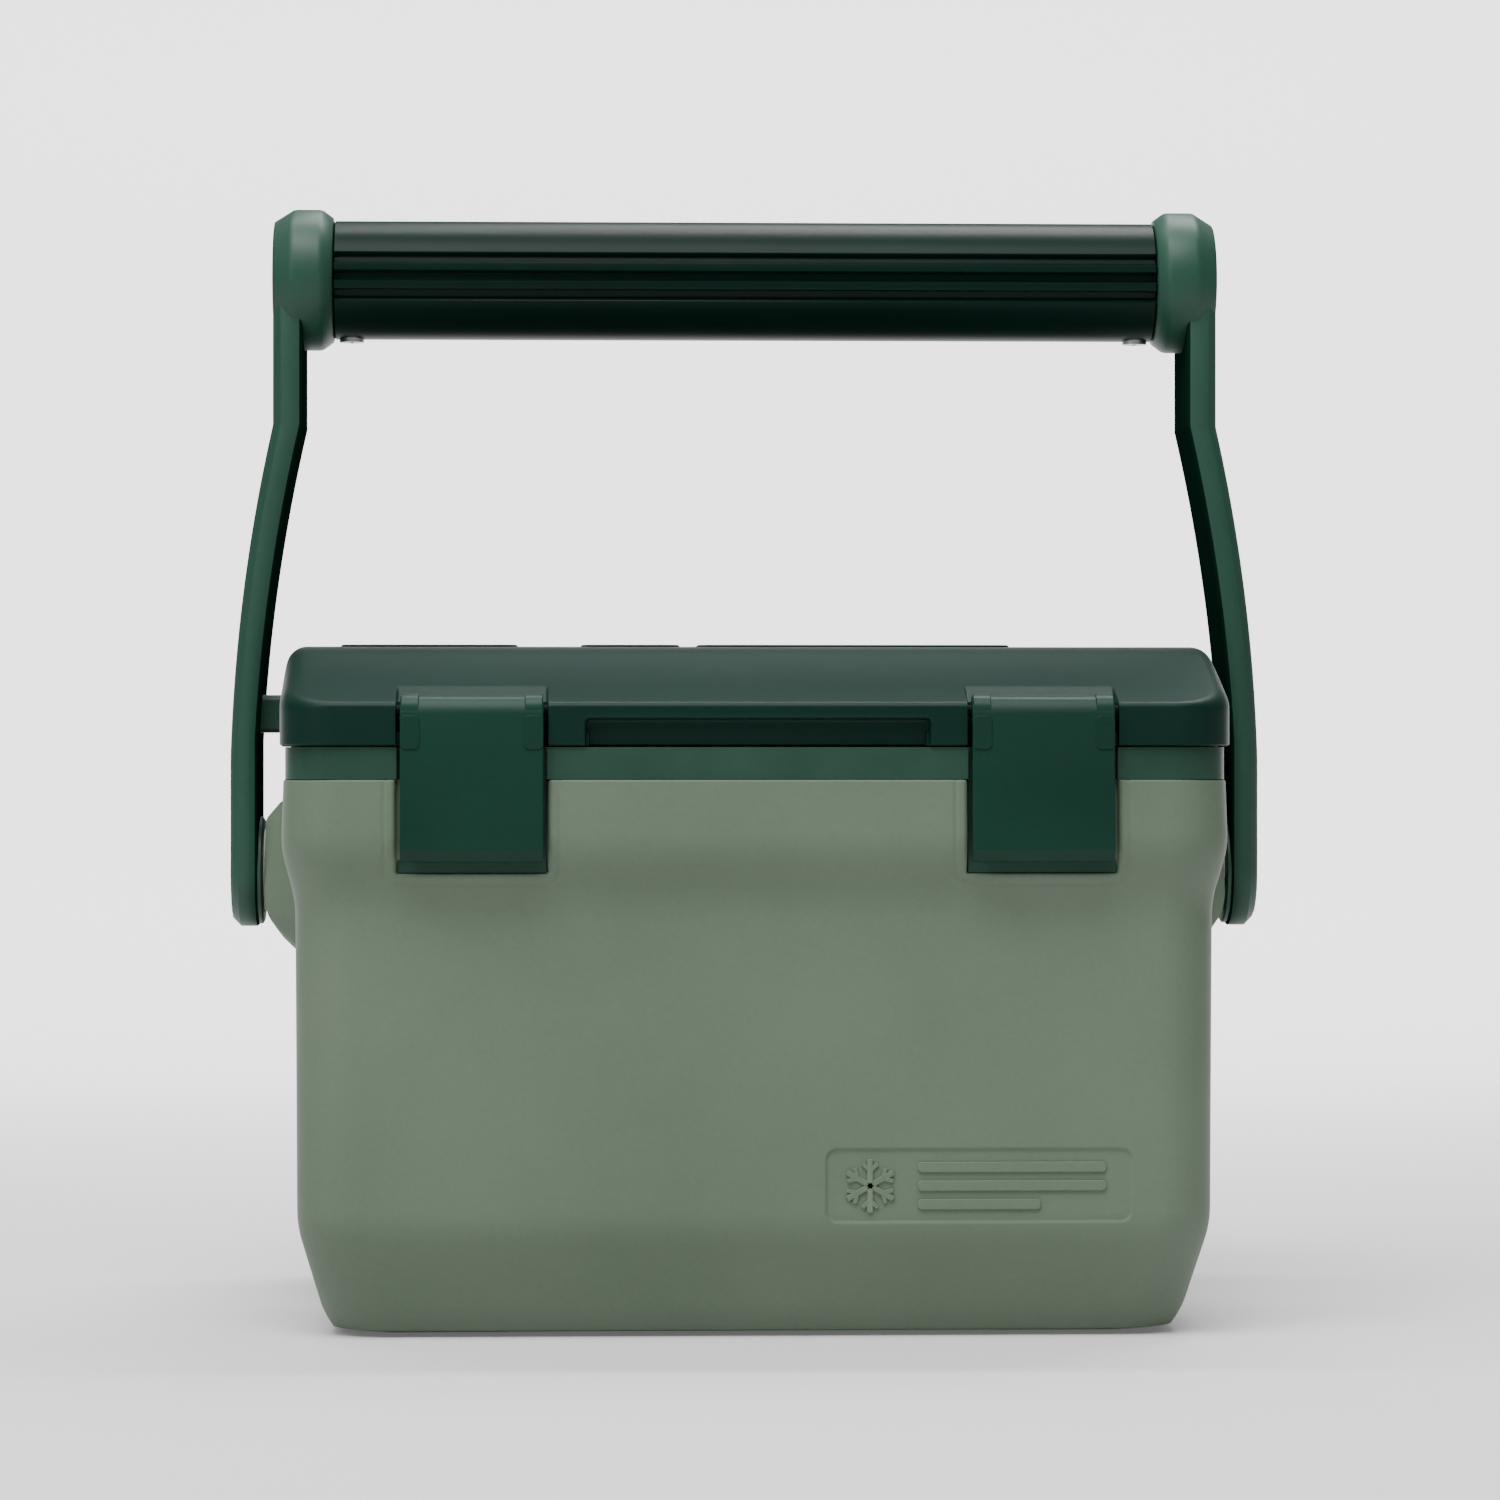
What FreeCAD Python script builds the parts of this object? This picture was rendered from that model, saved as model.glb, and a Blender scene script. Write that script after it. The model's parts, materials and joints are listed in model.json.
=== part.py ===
import FreeCAD
import Part
import Sketcher
import math
import os

# A hard-sided lunch cooler: a foam-filled body with a dark rim collar, a foam-filled lid hinged
# along the back, two draw-down latches on the front and a bail handle that swings on side pivots.
# Frame: -Y is the front with the latches, +X the right of someone facing that front, +Z up. The
# origin is the middle of the footprint at the level it stands on. Millimetres.

DIMENSIONS = {
    # body, as rounded rectangles stacked at five levels
    "foot_rise": (1.2, "height of the four moulded feet"),
    "foot_x": (85.0, "middle of a foot from the centre, left to right"),
    "foot_y": (62.0, "middle of a foot from the centre, front to back"),
    "foot_half": (19.0, "half length of a foot"),
    "foot_half_deep": (9.0, "half depth of a foot"),
    "corner": (16.0, "plan radius of the body's corners"),
    "base_level": (6.0, "top of the bottom edge's rounding"),
    "base_half": (119.5, "half width there"),
    "base_front": (86.5, "front face there"),
    "base_back": (84.5, "back face there"),
    "base_pull": (5.5, "how far the bottom edge's rounding pulls in"),
    "chamfer_level": (30.7, "top of the lower chamfer"),
    "panel_half": (126.5, "half width of the main panel"),
    "panel_front": (96.0, "front of the main panel"),
    "panel_back": (93.2, "back of the main panel"),
    "slope_low": (120.4, "bottom of the down-facing slope"),
    "slope_high": (135.1, "top of the down-facing slope"),
    "band_half": (130.5, "half width of the upper band"),
    "band_front": (102.5, "front of the upper band"),
    "band_back": (97.0, "back of the upper band"),
    "rim_level": (154.0, "top of the outer shell"),
    "skin": (2.5, "wall of the moulded skins"),
    "foam_gap": (0.3, "room between foam and skin"),
    "badge_left": (19.0, "left end of the plain panel low on the front"),
    "badge_right": (103.0, "right end of that panel"),
    "badge_low": (32.5, "bottom of that panel"),
    "badge_high": (52.5, "top of that panel"),
    "badge_deep": (0.5, "depth of that panel"),
    # liner
    "liner_floor": (12.0, "underside of the liner"),
    "liner_low_half": (108.0, "half width of the liner at its floor"),
    "liner_low_front": (80.0, "front of the liner at its floor"),
    "liner_low_back": (75.0, "back of the liner at its floor"),
    "liner_half": (118.0, "half width of the liner at its mouth"),
    "liner_front": (90.0, "front of the liner at its mouth"),
    "liner_back": (84.5, "back of the liner at its mouth"),
    "liner_wall": (2.0, "wall of the liner"),
    "liner_corner": (13.0, "plan radius of the liner"),
    "flange_reach": (4.0, "how far the liner's flange stands out"),
    "flange_thick": (2.0, "thickness of that flange"),
    # collar
    "collar_top": (162.8, "top of the rim collar"),
    "collar_set": (1.0, "how far the collar sits in from the band"),
    "bead_top": (164.6, "top of the collar's corner beads"),
    "bead_gap": (0.6, "room between a bead and the lid's skirt"),
    "bead_wide": (1.6, "width of a bead"),
    "bead_start": (103.5, "end of a front bead nearest the latch"),
    "bead_reach": (60.0, "end of a side bead nearest the pivot"),
    "catch_half": (14.0, "half width of a catch"),
    # lid
    "lid_low": (163.2, "lower edge of the lid's skirt"),
    "lip_level": (174.8, "top of the lid's front skirt"),
    "lid_top": (191.4, "top of the lid"),
    "lid_half": (131.0, "half width of the lid"),
    "lid_waist": (127.6, "half width of the lid's rear half, inside the arms"),
    "waist_start": (-34.0, "where the lid's ends begin to draw in"),
    "waist_end": (2.0, "where they have drawn in"),
    "lid_front": (102.5, "front of the lid"),
    "lid_back": (97.0, "back of the lid"),
    "slope_run": (52.0, "depth of the lid's front slope"),
    "rear_drop": (7.0, "height of the lid's rear slope"),
    "rear_run": (20.0, "depth of the lid's rear slope"),
    "edge_round": (4.0, "rounding of the lid's top edges"),
    "pad_rise": (0.5, "height of the raised pads on the lid"),
    "finger_half": (47.0, "half width of the finger slot"),
    "finger_top": (170.5, "top of the finger slot"),
    "finger_deep": (3.5, "depth of the finger slot"),
    "backing": (2.2, "wall behind the lid's recesses"),
    "lid_recess_extra": (1.3, "how much deeper the recess is in the lid than in the body"),
    "recess_ramp_end": (87.4, "where the recess runs out on the lid's slope"),
    "backing_end": (84.0, "where the wall behind the recess ends"),
    "pad_front": (44.0, "front of the raised pads"),
    "pad_rear": (70.0, "rear of the raised pads"),
    "tray_front": (93.2, "front of the lid's tray"),
    "tray_low": (157.0, "underside of the tray's plug"),
    "gasket_low": (163.0, "underside of the gasket"),
    "gasket_half": (121.5, "outer half width of the gasket"),
    "gasket_front": (93.0, "outer front of the gasket"),
    "gasket_back": (88.0, "outer back of the gasket"),
    "gasket_wide": (4.5, "width of the gasket"),
    # latches
    "latch_x": (78.0, "middle of a latch from the centre"),
    "latch_half": (19.5, "half width of a latch"),
    "recess_half": (20.5, "half width of a latch recess"),
    "recess_low": (128.5, "bottom of the recess in the body"),
    "recess_high": (179.6, "top of the recess in the lid"),
    "recess_deep": (5.8, "depth of the recess"),
    "latch_axis_y": (-99.9, "latch pin, front to back"),
    "latch_axis_z": (172.8, "latch pin, height"),
    "latch_pin": (1.5, "radius of a latch pin"),
    "barrel": (4.2, "radius of the latch barrel"),
    "latch_low": (131.3, "bottom of the latch"),
    "latch_face": (104.7, "front of the latch plate"),
    "latch_rear": (102.2, "rear of the latch plate"),
    "lip_face": (105.5, "front of the thumb lip"),
    "hook_tip": (99.6, "rear of the latch hook"),
    "hook_low": (144.5, "bottom of the latch hook"),
    "hook_high": (149.4, "top of the latch hook"),
    "catch_face": (101.3, "front of the catch on the collar"),
    "catch_low": (150.0, "bottom of the catch"),
    "catch_high": (153.0, "top of the catch"),
    "pin_half": (22.5, "half length of a latch pin"),
    "ear": (5.2, "width of the latch's reinforced sides"),
    "ear_low": (162.2, "bottom of those sides"),
    # lid hinge
    "hinge_x": (70.0, "middle of a hinge from the centre"),
    "hinge_y": (100.9, "hinge pin, front to back"),
    "hinge_z": (163.0, "hinge pin, height"),
    "knuckle": (4.6, "radius of the hinge knuckles"),
    "knuckle_half": (8.0, "half length of the collar's knuckle"),
    "hinge_half": (16.4, "half length of a whole hinge"),
    "hinge_gap": (0.5, "room round the knuckles"),
    "hinge_pin": (1.5, "radius of a hinge pin"),
    # handle
    "pivot_z": (127.0, "handle pivot, height"),
    "boss_face": (139.2, "outer face of the pivot boss"),
    "boss_round": (18.0, "radius of the pivot boss"),
    "foot_face": (139.8, "inner face of the arm's foot"),
    "arm_inner": (141.0, "inner face of the arm above its foot"),
    "arm_outer": (149.0, "outer face of the arm at its foot"),
    "lug_face": (131.4, "inner end of the arm's spacer lug, beside the lid"),
    "lug_low": (167.0, "bottom of the lug"),
    "lug_high": (178.0, "top of the lug"),
    "lug_half": (7.0, "half depth of the lug"),
    "arm_half": (16.3, "half width of the arm, front to back"),
    "arm_bevel": (3.2, "bevel round the arm's outer edge"),
    "bend_low": (160.0, "bottom of the arm's bend"),
    "bend_mid": (213.0, "middle of the arm's bend"),
    "bend_high": (256.0, "top of the arm's bend"),
    "mid_inner": (136.3, "inner face at the middle of the bend"),
    "mid_outer": (144.6, "outer face at the middle of the bend"),
    "top_inner": (128.2, "inner face above the bend"),
    "top_outer": (136.8, "outer face above the bend"),
    "grip_z": (299.0, "axis of the grip, height"),
    "grip_round": (17.25, "radius of the grip"),
    "grip_half": (119.5, "half length of the grip"),
    "grip_bore": (12.2, "bore of the grip"),
    "groove_pitch": (5.4, "height between the grip's grooves"),
    "groove_wide": (2.4, "width of a groove"),
    "groove_deep": (1.5, "depth of a groove"),
    "socket_round": (20.5, "radius of the arm's socket"),
    "spigot": (12.0, "radius of the spigot in the grip"),
    "spigot_end": (104.0, "inner end of the spigot"),
    "screw_x": (114.5, "grip screw from the centre"),
    "screw_round": (1.8, "radius of a grip screw"),
    "screw_head": (3.6, "radius of its head"),
    "bolt_round": (4.0, "radius of the pivot bolt's shank"),
    "thread_round": (3.0, "radius of the pivot bolt's thread"),
    "bush_round": (6.0, "outer radius of the pivot bush"),
    "head_round": (8.0, "radius of the pivot bolt's head"),
    "cap_round": (11.0, "radius of the pivot cap"),
    "bolt_tip": (117.2, "inner end of the pivot bolt"),
    "bolt_step": (134.0, "where the bolt's thread meets its shank"),
    "bolt_seat": (145.3, "underside of the bolt's head"),
    "bolt_face": (147.6, "face of the bolt's head"),
    "drive_level": (146.4, "bottom of the cross in the bolt's head"),
    "bush_start": (134.3, "inner end of the pivot bush"),
    "bush_end": (145.2, "outer end of the pivot bush"),
    "washer_round": (12.0, "radius of the pivot washer"),
    "cap_seat": (147.8, "inner face of the pivot cap"),
    "anchor_tip": (117.6, "inner end of the anchor's hub"),
    "anchor_half_deep": (17.0, "half depth of the anchor plate"),
    "anchor_half_tall": (11.0, "half height of the anchor plate"),
    "anchor_hub": (9.0, "radius of the anchor's hub"),
    "pivot_room": (27.0, "how far below the pivot the foam is cut away"),
    "slip": (0.05, "radial clearance of pins and shafts"),
}

doc = FreeCAD.newDocument("LunchCooler")
sheet = doc.addObject("Spreadsheet::Sheet", "Dims")
for row, (alias, (size, meaning)) in enumerate(DIMENSIONS.items(), start=1):
    sheet.set(f"A{row}", meaning)
    sheet.set(f"B{row}", str(size))
    sheet.setAlias(f"B{row}", alias)
doc.recompute()

NODES = []
made = {}


def size_of(alias):
    return DIMENSIONS[alias][0]


def cells(expression):
    """Put the sheet's name before each alias of an expression."""
    words = []
    word = ""
    for letter in str(expression) + " ":
        if letter.isalnum() or letter in "_.":
            word += letter
            continue
        words.append("Dims." + word if word in DIMENSIONS else word)
        words.append(letter)
        word = ""
    return "".join(words).strip()


def number(expression):
    """The value of an expression of aliases, for geometry that starts a sketch."""
    return float(sheet.evalExpression(cells(expression)))


def node(label, thing):
    """Name a finished piece, which is written to a file of that name."""
    thing.Label = label
    NODES.append(thing)
    return thing


def bind(thing, **sizes):
    for name, expression in sizes.items():
        thing.setExpression(name.replace("__", "."), cells(expression))
    return thing


def box(name, left, right, front, back, low, high):
    thing = doc.addObject("Part::Box", name)
    return bind(
        thing,
        Length=f"({right}) - ({left})",
        Width=f"({back}) - ({front})",
        Height=f"({high}) - ({low})",
        Placement__Base__x=left,
        Placement__Base__y=front,
        Placement__Base__z=low,
    )


def rod(name, left, right, across, height, radius):
    """A cylinder along X."""
    thing = doc.addObject("Part::Cylinder", name)
    thing.Placement.Rotation = FreeCAD.Rotation(FreeCAD.Vector(0, 1, 0), 90)
    return bind(
        thing,
        Radius=radius,
        Height=f"({right}) - ({left})",
        Placement__Base__x=left,
        Placement__Base__y=across,
        Placement__Base__z=height,
    )


def post(name, along, across, low, high, radius):
    """A cylinder along Z."""
    thing = doc.addObject("Part::Cylinder", name)
    return bind(
        thing,
        Radius=radius,
        Height=f"({high}) - ({low})",
        Placement__Base__x=along,
        Placement__Base__y=across,
        Placement__Base__z=low,
    )


def fuse(name, *pieces):
    thing = doc.addObject("Part::MultiFuse", name)
    thing.Shapes = list(pieces)
    return thing


def cut(name, base, *tools):
    thing = doc.addObject("Part::Cut", name)
    thing.Base = base
    thing.Tool = tools[0] if len(tools) == 1 else fuse(name + "_tools", *tools)
    return thing


def common(name, first, second):
    thing = doc.addObject("Part::Common", name)
    thing.Base = first
    thing.Tool = second
    return thing


def mirrored(name, source):
    """The same piece on the other side of the middle plane."""
    thing = doc.addObject("Part::Mirroring", name)
    thing.Source = source
    thing.Normal = FreeCAD.Vector(1, 0, 0)
    thing.Base = FreeCAD.Vector(0, 0, 0)
    return thing


def plane(body, role):
    return next(f for f in body.Origin.OriginFeatures if f.Role == role)


def new_sketch(body, name, role):
    sketch = body.newObject("Sketcher::SketchObject", name)
    sketch.AttachmentSupport = [(plane(body, role), "")]
    sketch.MapMode = "FlatFace"
    return sketch


def rounded_rectangle(body, name, level, half, front, back, corner):
    """A rounded rectangle on a level plane, held by five bound dimensions."""
    sketch = new_sketch(body, name, "XY_Plane")
    sketch.setExpression("AttachmentOffset.Base.z", cells(level))
    w, f, b, r = number(half), number(front), number(back), number(corner)
    ends = [
        ((r - w, -f), (w - r, -f)),
        ((w, r - f), (w, b - r)),
        ((w - r, b), (r - w, b)),
        ((-w, b - r), (-w, r - f)),
    ]
    centres = [(w - r, r - f), (w - r, b - r), (r - w, b - r), (r - w, r - f)]
    for (x0, y0), (x1, y1) in ends:
        line = Part.LineSegment(FreeCAD.Vector(x0, y0, 0), FreeCAD.Vector(x1, y1, 0))
        sketch.addGeometry(line, False)
    for index, (x, y) in enumerate(centres):
        circle = Part.Circle(FreeCAD.Vector(x, y, 0), FreeCAD.Vector(0, 0, 1), r)
        start = math.radians(90 * index - 90)
        sketch.addGeometry(Part.ArcOfCircle(circle, start, start + math.pi / 2), False)
    for index in range(4):
        arc = 4 + index
        sketch.addConstraint(Sketcher.Constraint("Tangent", index, 2, arc, 1))
        sketch.addConstraint(Sketcher.Constraint("Tangent", arc, 2, (index + 1) % 4, 1))
        level_or_upright = "Horizontal" if index % 2 == 0 else "Vertical"
        sketch.addConstraint(Sketcher.Constraint(level_or_upright, index))
    for arc in (5, 6, 7):
        sketch.addConstraint(Sketcher.Constraint("Equal", 4, arc))
    held = [
        ("corner_radius", Sketcher.Constraint("Radius", 4, r), corner),
        ("right", Sketcher.Constraint("DistanceX", -1, 1, 1, 1, w), half),
        ("left", Sketcher.Constraint("DistanceX", 3, 1, -1, 1, w), half),
        ("rear", Sketcher.Constraint("DistanceY", -1, 1, 2, 1, b), back),
        ("face", Sketcher.Constraint("DistanceY", 0, 1, -1, 1, f), front),
    ]
    for title, constraint, expression in held:
        index = sketch.addConstraint(constraint)
        sketch.renameConstraint(index, title)
        sketch.setExpression("Constraints." + title, cells(expression))
    return sketch


def slab(name, low, high, half, front, back, corner):
    """A flat plate with rounded corners, between two levels."""
    body = doc.addObject("PartDesign::Body", name)
    sketch = rounded_rectangle(body, name + "_outline", low, half, front, back, corner)
    pad = body.newObject("PartDesign::Pad", name + "_pad")
    pad.Profile = sketch
    bind(pad, Length=f"({high}) - ({low})")
    return body


def stack(name, sections):
    """A solid through rounded rectangles: (level, half, front, back, corner) each."""
    body = doc.addObject("PartDesign::Body", name)
    sketches = [
        rounded_rectangle(body, f"{name}_section{index}", *section)
        for index, section in enumerate(sections)
    ]
    loft = body.newObject("PartDesign::AdditiveLoft", name + "_loft")
    loft.Profile = sketches[0]
    loft.Sections = sketches[1:]
    loft.Ruled = True
    return body


def polygon(name, role, points, length, curved=()):
    """A symmetric pad of a closed outline of expressions; curved pairs an edge with its mid point."""
    body = doc.addObject("PartDesign::Body", name)
    sketch = new_sketch(body, name + "_outline", role)
    flat = [(number(u), number(v)) for u, v in points]
    middles = {index: (number(u), number(v)) for index, (u, v) in dict(curved).items()}
    for index, start in enumerate(flat):
        end = flat[(index + 1) % len(flat)]
        first = FreeCAD.Vector(*start, 0)
        last = FreeCAD.Vector(*end, 0)
        if index in middles:
            sketch.addGeometry(Part.Arc(first, FreeCAD.Vector(*middles[index], 0), last), False)
        else:
            sketch.addGeometry(Part.LineSegment(first, last), False)
    pad = body.newObject("PartDesign::Pad", name + "_pad")
    pad.Profile = sketch
    pad.Midplane = True
    bind(pad, Length=length)
    return body


def moved(name, source, along):
    """A copy of a finished piece, shifted along X."""
    thing = doc.addObject("Part::Feature", name)
    doc.recompute()
    thing.Shape = source.Shape.copy()
    thing.Placement = FreeCAD.Placement(FreeCAD.Vector(number(along), 0, 0), FreeCAD.Rotation())
    return thing


def shell_form(name, inset, top):
    """The body's outer form, pulled in by an inset, for the skin, its cavity and the foam."""
    pulled = [
        ("foot_rise", "base_half - base_pull", "base_front - base_pull", "base_back - base_pull"),
        ("base_level", "base_half", "base_front", "base_back"),
        ("chamfer_level", "panel_half", "panel_front", "panel_back"),
        ("slope_low", "panel_half", "panel_front", "panel_back"),
        ("slope_high", "band_half", "band_front", "band_back"),
        (top, "band_half", "band_front", "band_back"),
    ]
    sections = []
    for index, (level, *reaches) in enumerate(pulled):
        lift = inset if index < 2 else "0"
        outline = [f"{reach} - ({inset})" for reach in reaches]
        sections.append((f"{level} + ({lift})", *outline, f"corner - ({inset})"))
    return stack(name, sections)


def liner_form(name, inset, floor, top):
    return stack(
        name,
        [
            (floor, *[f"liner_low_{side} - ({inset})" for side in ("half", "front", "back")],
             f"liner_corner - ({inset})"),
            (top, *[f"liner_{side} - ({inset})" for side in ("half", "front", "back")],
             f"liner_corner - ({inset})"),
        ],
    )


def lid_form(name, inset, low):
    """The lid's outer form, pulled in by an inset: sloped front and rear, drawn-in ends."""
    block = slab(
        name + "_block", low, f"lid_top - ({inset})", f"lid_half - ({inset})",
        f"lid_front - ({inset})", f"lid_back - ({inset})", f"corner - ({inset})",
    )
    spare = 10
    front = polygon(
        name + "_front", "YZ_Plane",
        [
            (f"-lid_front - {spare}", f"lip_level - ({inset}) - (lid_top - lip_level) / slope_run * {spare}"),
            ("slope_run - lid_front", f"lid_top - ({inset})"),
            ("slope_run - lid_front", f"lid_top + {spare}"),
            (f"-lid_front - {spare}", f"lid_top + {spare}"),
        ],
        "lid_half * 3",
    )
    rear = polygon(
        name + "_rear", "YZ_Plane",
        [
            ("lid_back - rear_run", f"lid_top - ({inset})"),
            (f"lid_back + {spare}", f"lid_top - ({inset}) - rear_drop * (1 + {spare} / rear_run)"),
            (f"lid_back + {spare}", f"lid_top + {spare}"),
            ("lid_back - rear_run", f"lid_top + {spare}"),
        ],
        "lid_half * 3",
    )
    waist = polygon(
        name + "_waist", "XY_Plane",
        [
            (f"lid_half - ({inset})", "waist_start"),
            (f"lid_waist - ({inset})", "waist_end"),
            (f"lid_waist - ({inset})", f"lid_back + {spare}"),
            (f"lid_half + {spare}", f"lid_back + {spare}"),
            (f"lid_half + {spare}", "waist_start"),
        ],
        "lid_top * 3",
    )
    return cut(name, block, front, rear, waist, mirrored(name + "_other_waist", waist))


def rounded_top(name, base, radius):
    """Round the edges of the lid's top and slopes, where they meet its upright walls."""
    doc.recompute()
    thing = doc.addObject("Part::Fillet", name)
    thing.Base = base
    chosen = []
    lowest = size_of("lip_level") - 8
    for index, edge in enumerate(base.Shape.Edges, start=1):
        if edge.BoundBox.ZMin < lowest:
            continue
        faces = base.Shape.ancestorsOfType(edge, Part.Face)
        upright = [abs(face.normalAt(*face.Surface.parameter(edge.CenterOfMass)).z) < 0.05 for face in faces]
        if sum(upright) == 1:
            chosen.append((index, radius, radius))
    thing.Edges = chosen
    return thing


def two_sided(name, maker):
    """A right-hand piece from its maker, and its mirror image, as two named nodes."""
    right = node(name + "_right", maker())
    left = node(name + "_left", mirrored(name + "_mirror", right))
    return right, left


# --- body -------------------------------------------------------------------------------------


def outer_shell():
    form = shell_form("shell_outer", "0", "rim_level")
    hollow = shell_form("shell_hollow", "skin", "rim_level + 1")
    thing = cut("shell_open", form, hollow)
    backing = [
        box(f"recess_backing{index}", f"{side} - recess_half - 2.5", f"{side} + recess_half + 2.5",
            "-band_front + 1", "-band_front + recess_deep + 2.5", "recess_low - 2.5", "rim_level")
        for index, side in enumerate(("latch_x", "-latch_x"))
    ]
    recesses = [
        box(f"recess{index}", f"{side} - recess_half", f"{side} + recess_half",
            "-band_front - 5", "-band_front + recess_deep", "recess_low", "rim_level + 5")
        for index, side in enumerate(("latch_x", "-latch_x"))
    ]
    seat_right = boss("boss_right")
    seat_left = mirrored("boss_left", seat_right)
    feet = []
    for index, (along, across) in enumerate([(-1, -1), (-1, 1), (1, -1), (1, 1)]):
        middle_x = f"{along} * foot_x"
        middle_y = f"{across} * foot_y"
        feet.append(
            box(f"foot{index}", f"{middle_x} - foot_half", f"{middle_x} + foot_half",
                f"{middle_y} - foot_half_deep", f"{middle_y} + foot_half_deep", "0", "foot_rise + 1")
        )
    solid = fuse("shell_solid", thing, *backing, seat_right, seat_left, *feet)
    bores = []
    for side in (1, -1):
        ends = [f"{side} * (bolt_tip + 0.8)", f"{side} * (boss_face + 1)"]
        low, high = ends if side > 0 else ends[::-1]
        tag = "right" if side > 0 else "left"
        bores.append(rod("bolt_bore_" + tag, low, high, "0", "pivot_z", "bolt_round + 0.1"))
        ends = [f"{side} * (bush_start - 0.1)", f"{side} * (boss_face + 1)"]
        low, high = ends if side > 0 else ends[::-1]
        bores.append(rod("bush_bore_" + tag, low, high, "0", "pivot_z", "bush_round + 0.1"))
    panel = slab_badge()
    return cut("shell_cut", solid, *recesses, *bores, panel)


def slab_badge():
    """The shallow plain panel low on the front, at the viewer's right."""
    return box("badge", "badge_left", "badge_right", "-panel_front - 1", "-panel_front + badge_deep",
               "badge_low", "badge_high")


def boss(name):
    """The pad on a side wall that carries the handle's pivot."""
    profile = polygon(
        name + "_profile", "XZ_Plane",
        [
            ("panel_half - 2.4", "104"),
            ("panel_half + 0.5", "101"),
            ("boss_face - 4", "108"),
            ("boss_face", "116"),
            ("boss_face", "142"),
            ("boss_face - 3", "148"),
            ("band_half - 0.5", "152"),
            ("panel_half - 0.5", "152"),
            ("panel_half - 2.4", "130"),
        ],
        "boss_round * 2",
    )
    half = "boss_round"
    outline = polygon(
        name + "_side", "YZ_Plane",
        [(f"-{half}", "pivot_z - 10"), (half, "pivot_z - 10"), (half, "pivot_z + 30"), (f"-{half}", "pivot_z + 30")],
        "boss_face * 4",
        curved={0: ("0", "pivot_z - 10 - boss_round")},
    )
    return common(name, profile, outline)


def inner_liner():
    form = liner_form("liner_outer", "0", "liner_floor", "collar_top")
    flange = slab("liner_flange", "collar_top - flange_thick", "collar_top", "liner_half + flange_reach",
                  "liner_front + flange_reach", "liner_back + flange_reach", "liner_corner + flange_reach")
    hollow = liner_form("liner_hollow", "liner_wall", "liner_floor + liner_wall", "collar_top + 1")
    return cut("liner", fuse("liner_solid", form, flange), hollow)


def body_foam():
    form = shell_form("foam_outer", "skin + foam_gap", "rim_level - 0.3")
    hollow = liner_form("foam_hollow", "-foam_gap", "liner_floor - foam_gap", "rim_level + 1")
    clear = []
    for index, side in enumerate(("latch_x", "-latch_x")):
        clear.append(
            box(f"foam_clear{index}", f"{side} - recess_half - 2.8", f"{side} + recess_half + 2.8",
                "-band_front", "-band_front + recess_deep + 2.8", "recess_low - 2.8", "rim_level + 2")
        )
    for side in (1, -1):
        tag = "right" if side > 0 else "left"
        inner = "liner_half - 6"
        left, right = (inner, "band_half") if side > 0 else ("-band_half", f"-({inner})")
        clear.append(box("foam_pivot_" + tag, left, right, "-boss_round - 1", "boss_round + 1",
                         "pivot_z - pivot_room", "rim_level + 1"))
    return cut("foam_cut", form, hollow, *clear)


def rim_collar():
    band = slab("collar_band", "rim_level", "collar_top", "band_half - collar_set", "band_front - collar_set",
                "band_back - collar_set", "corner - collar_set")
    mouth = slab("collar_mouth", "rim_level - 1", "collar_top + 1", "liner_half + foam_gap",
                 "liner_front + foam_gap", "liner_back + foam_gap", "liner_corner + foam_gap")
    seat = slab("collar_seat", "collar_top - flange_thick", "collar_top + 1", "liner_half + flange_reach + 0.2",
                "liner_front + flange_reach + 0.2", "liner_back + flange_reach + 0.2", "liner_corner + flange_reach")
    tongues = []
    for index, side in enumerate(("latch_x", "-latch_x")):
        tongues.append(
            box(f"tongue{index}", f"{side} - recess_half + 0.2", f"{side} + recess_half - 0.2",
                "-band_front + recess_deep - 2", "-band_front + recess_deep", "recess_low", "rim_level + 1")
        )
        tongues.append(
            box(f"catch{index}", f"{side} - catch_half", f"{side} + catch_half", "-catch_face", "-band_front + recess_deep - 1",
                "catch_low", "catch_high")
        )
    gates = [
        box(f"collar_gate{index}", f"{side} - recess_half", f"{side} + recess_half", "-band_front - 5",
            "-band_front + recess_deep - 2", "catch_high", "collar_top + 1")
        for index, side in enumerate(("latch_x", "-latch_x"))
    ]
    knuckles = []
    notches = []
    for index, side in enumerate(("hinge_x", "-hinge_x")):
        knuckles.append(rod(f"collar_knuckle{index}", f"{side} - knuckle_half", f"{side} + knuckle_half",
                            "hinge_y", "hinge_z", "knuckle"))
        knuckles.append(box(f"collar_web{index}", f"{side} - knuckle_half", f"{side} + knuckle_half",
                            "liner_back + flange_reach + 1", "hinge_y", "hinge_z - knuckle", "collar_top"))
        for end, (near, far) in enumerate([("-hinge_half - 0.6", "-knuckle_half - 0.05"),
                                           ("knuckle_half + 0.05", "hinge_half + 0.6")]):
            notches.append(rod(f"collar_notch{index}{end}", f"{side} + ({near})", f"{side} + ({far})",
                               "hinge_y", "hinge_z", "knuckle + hinge_gap"))
    bores = [
        rod(f"collar_bore{index}", f"{side} - 20", f"{side} + 20", "hinge_y", "hinge_z", "hinge_pin + slip")
        for index, side in enumerate(("hinge_x", "-hinge_x"))
    ]
    ring = cut("collar_ring", band, mouth, seat, *gates)
    return cut("collar", fuse("collar_solid", ring, corner_beads(), *tongues, *knuckles), *notches, *bores)


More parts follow.
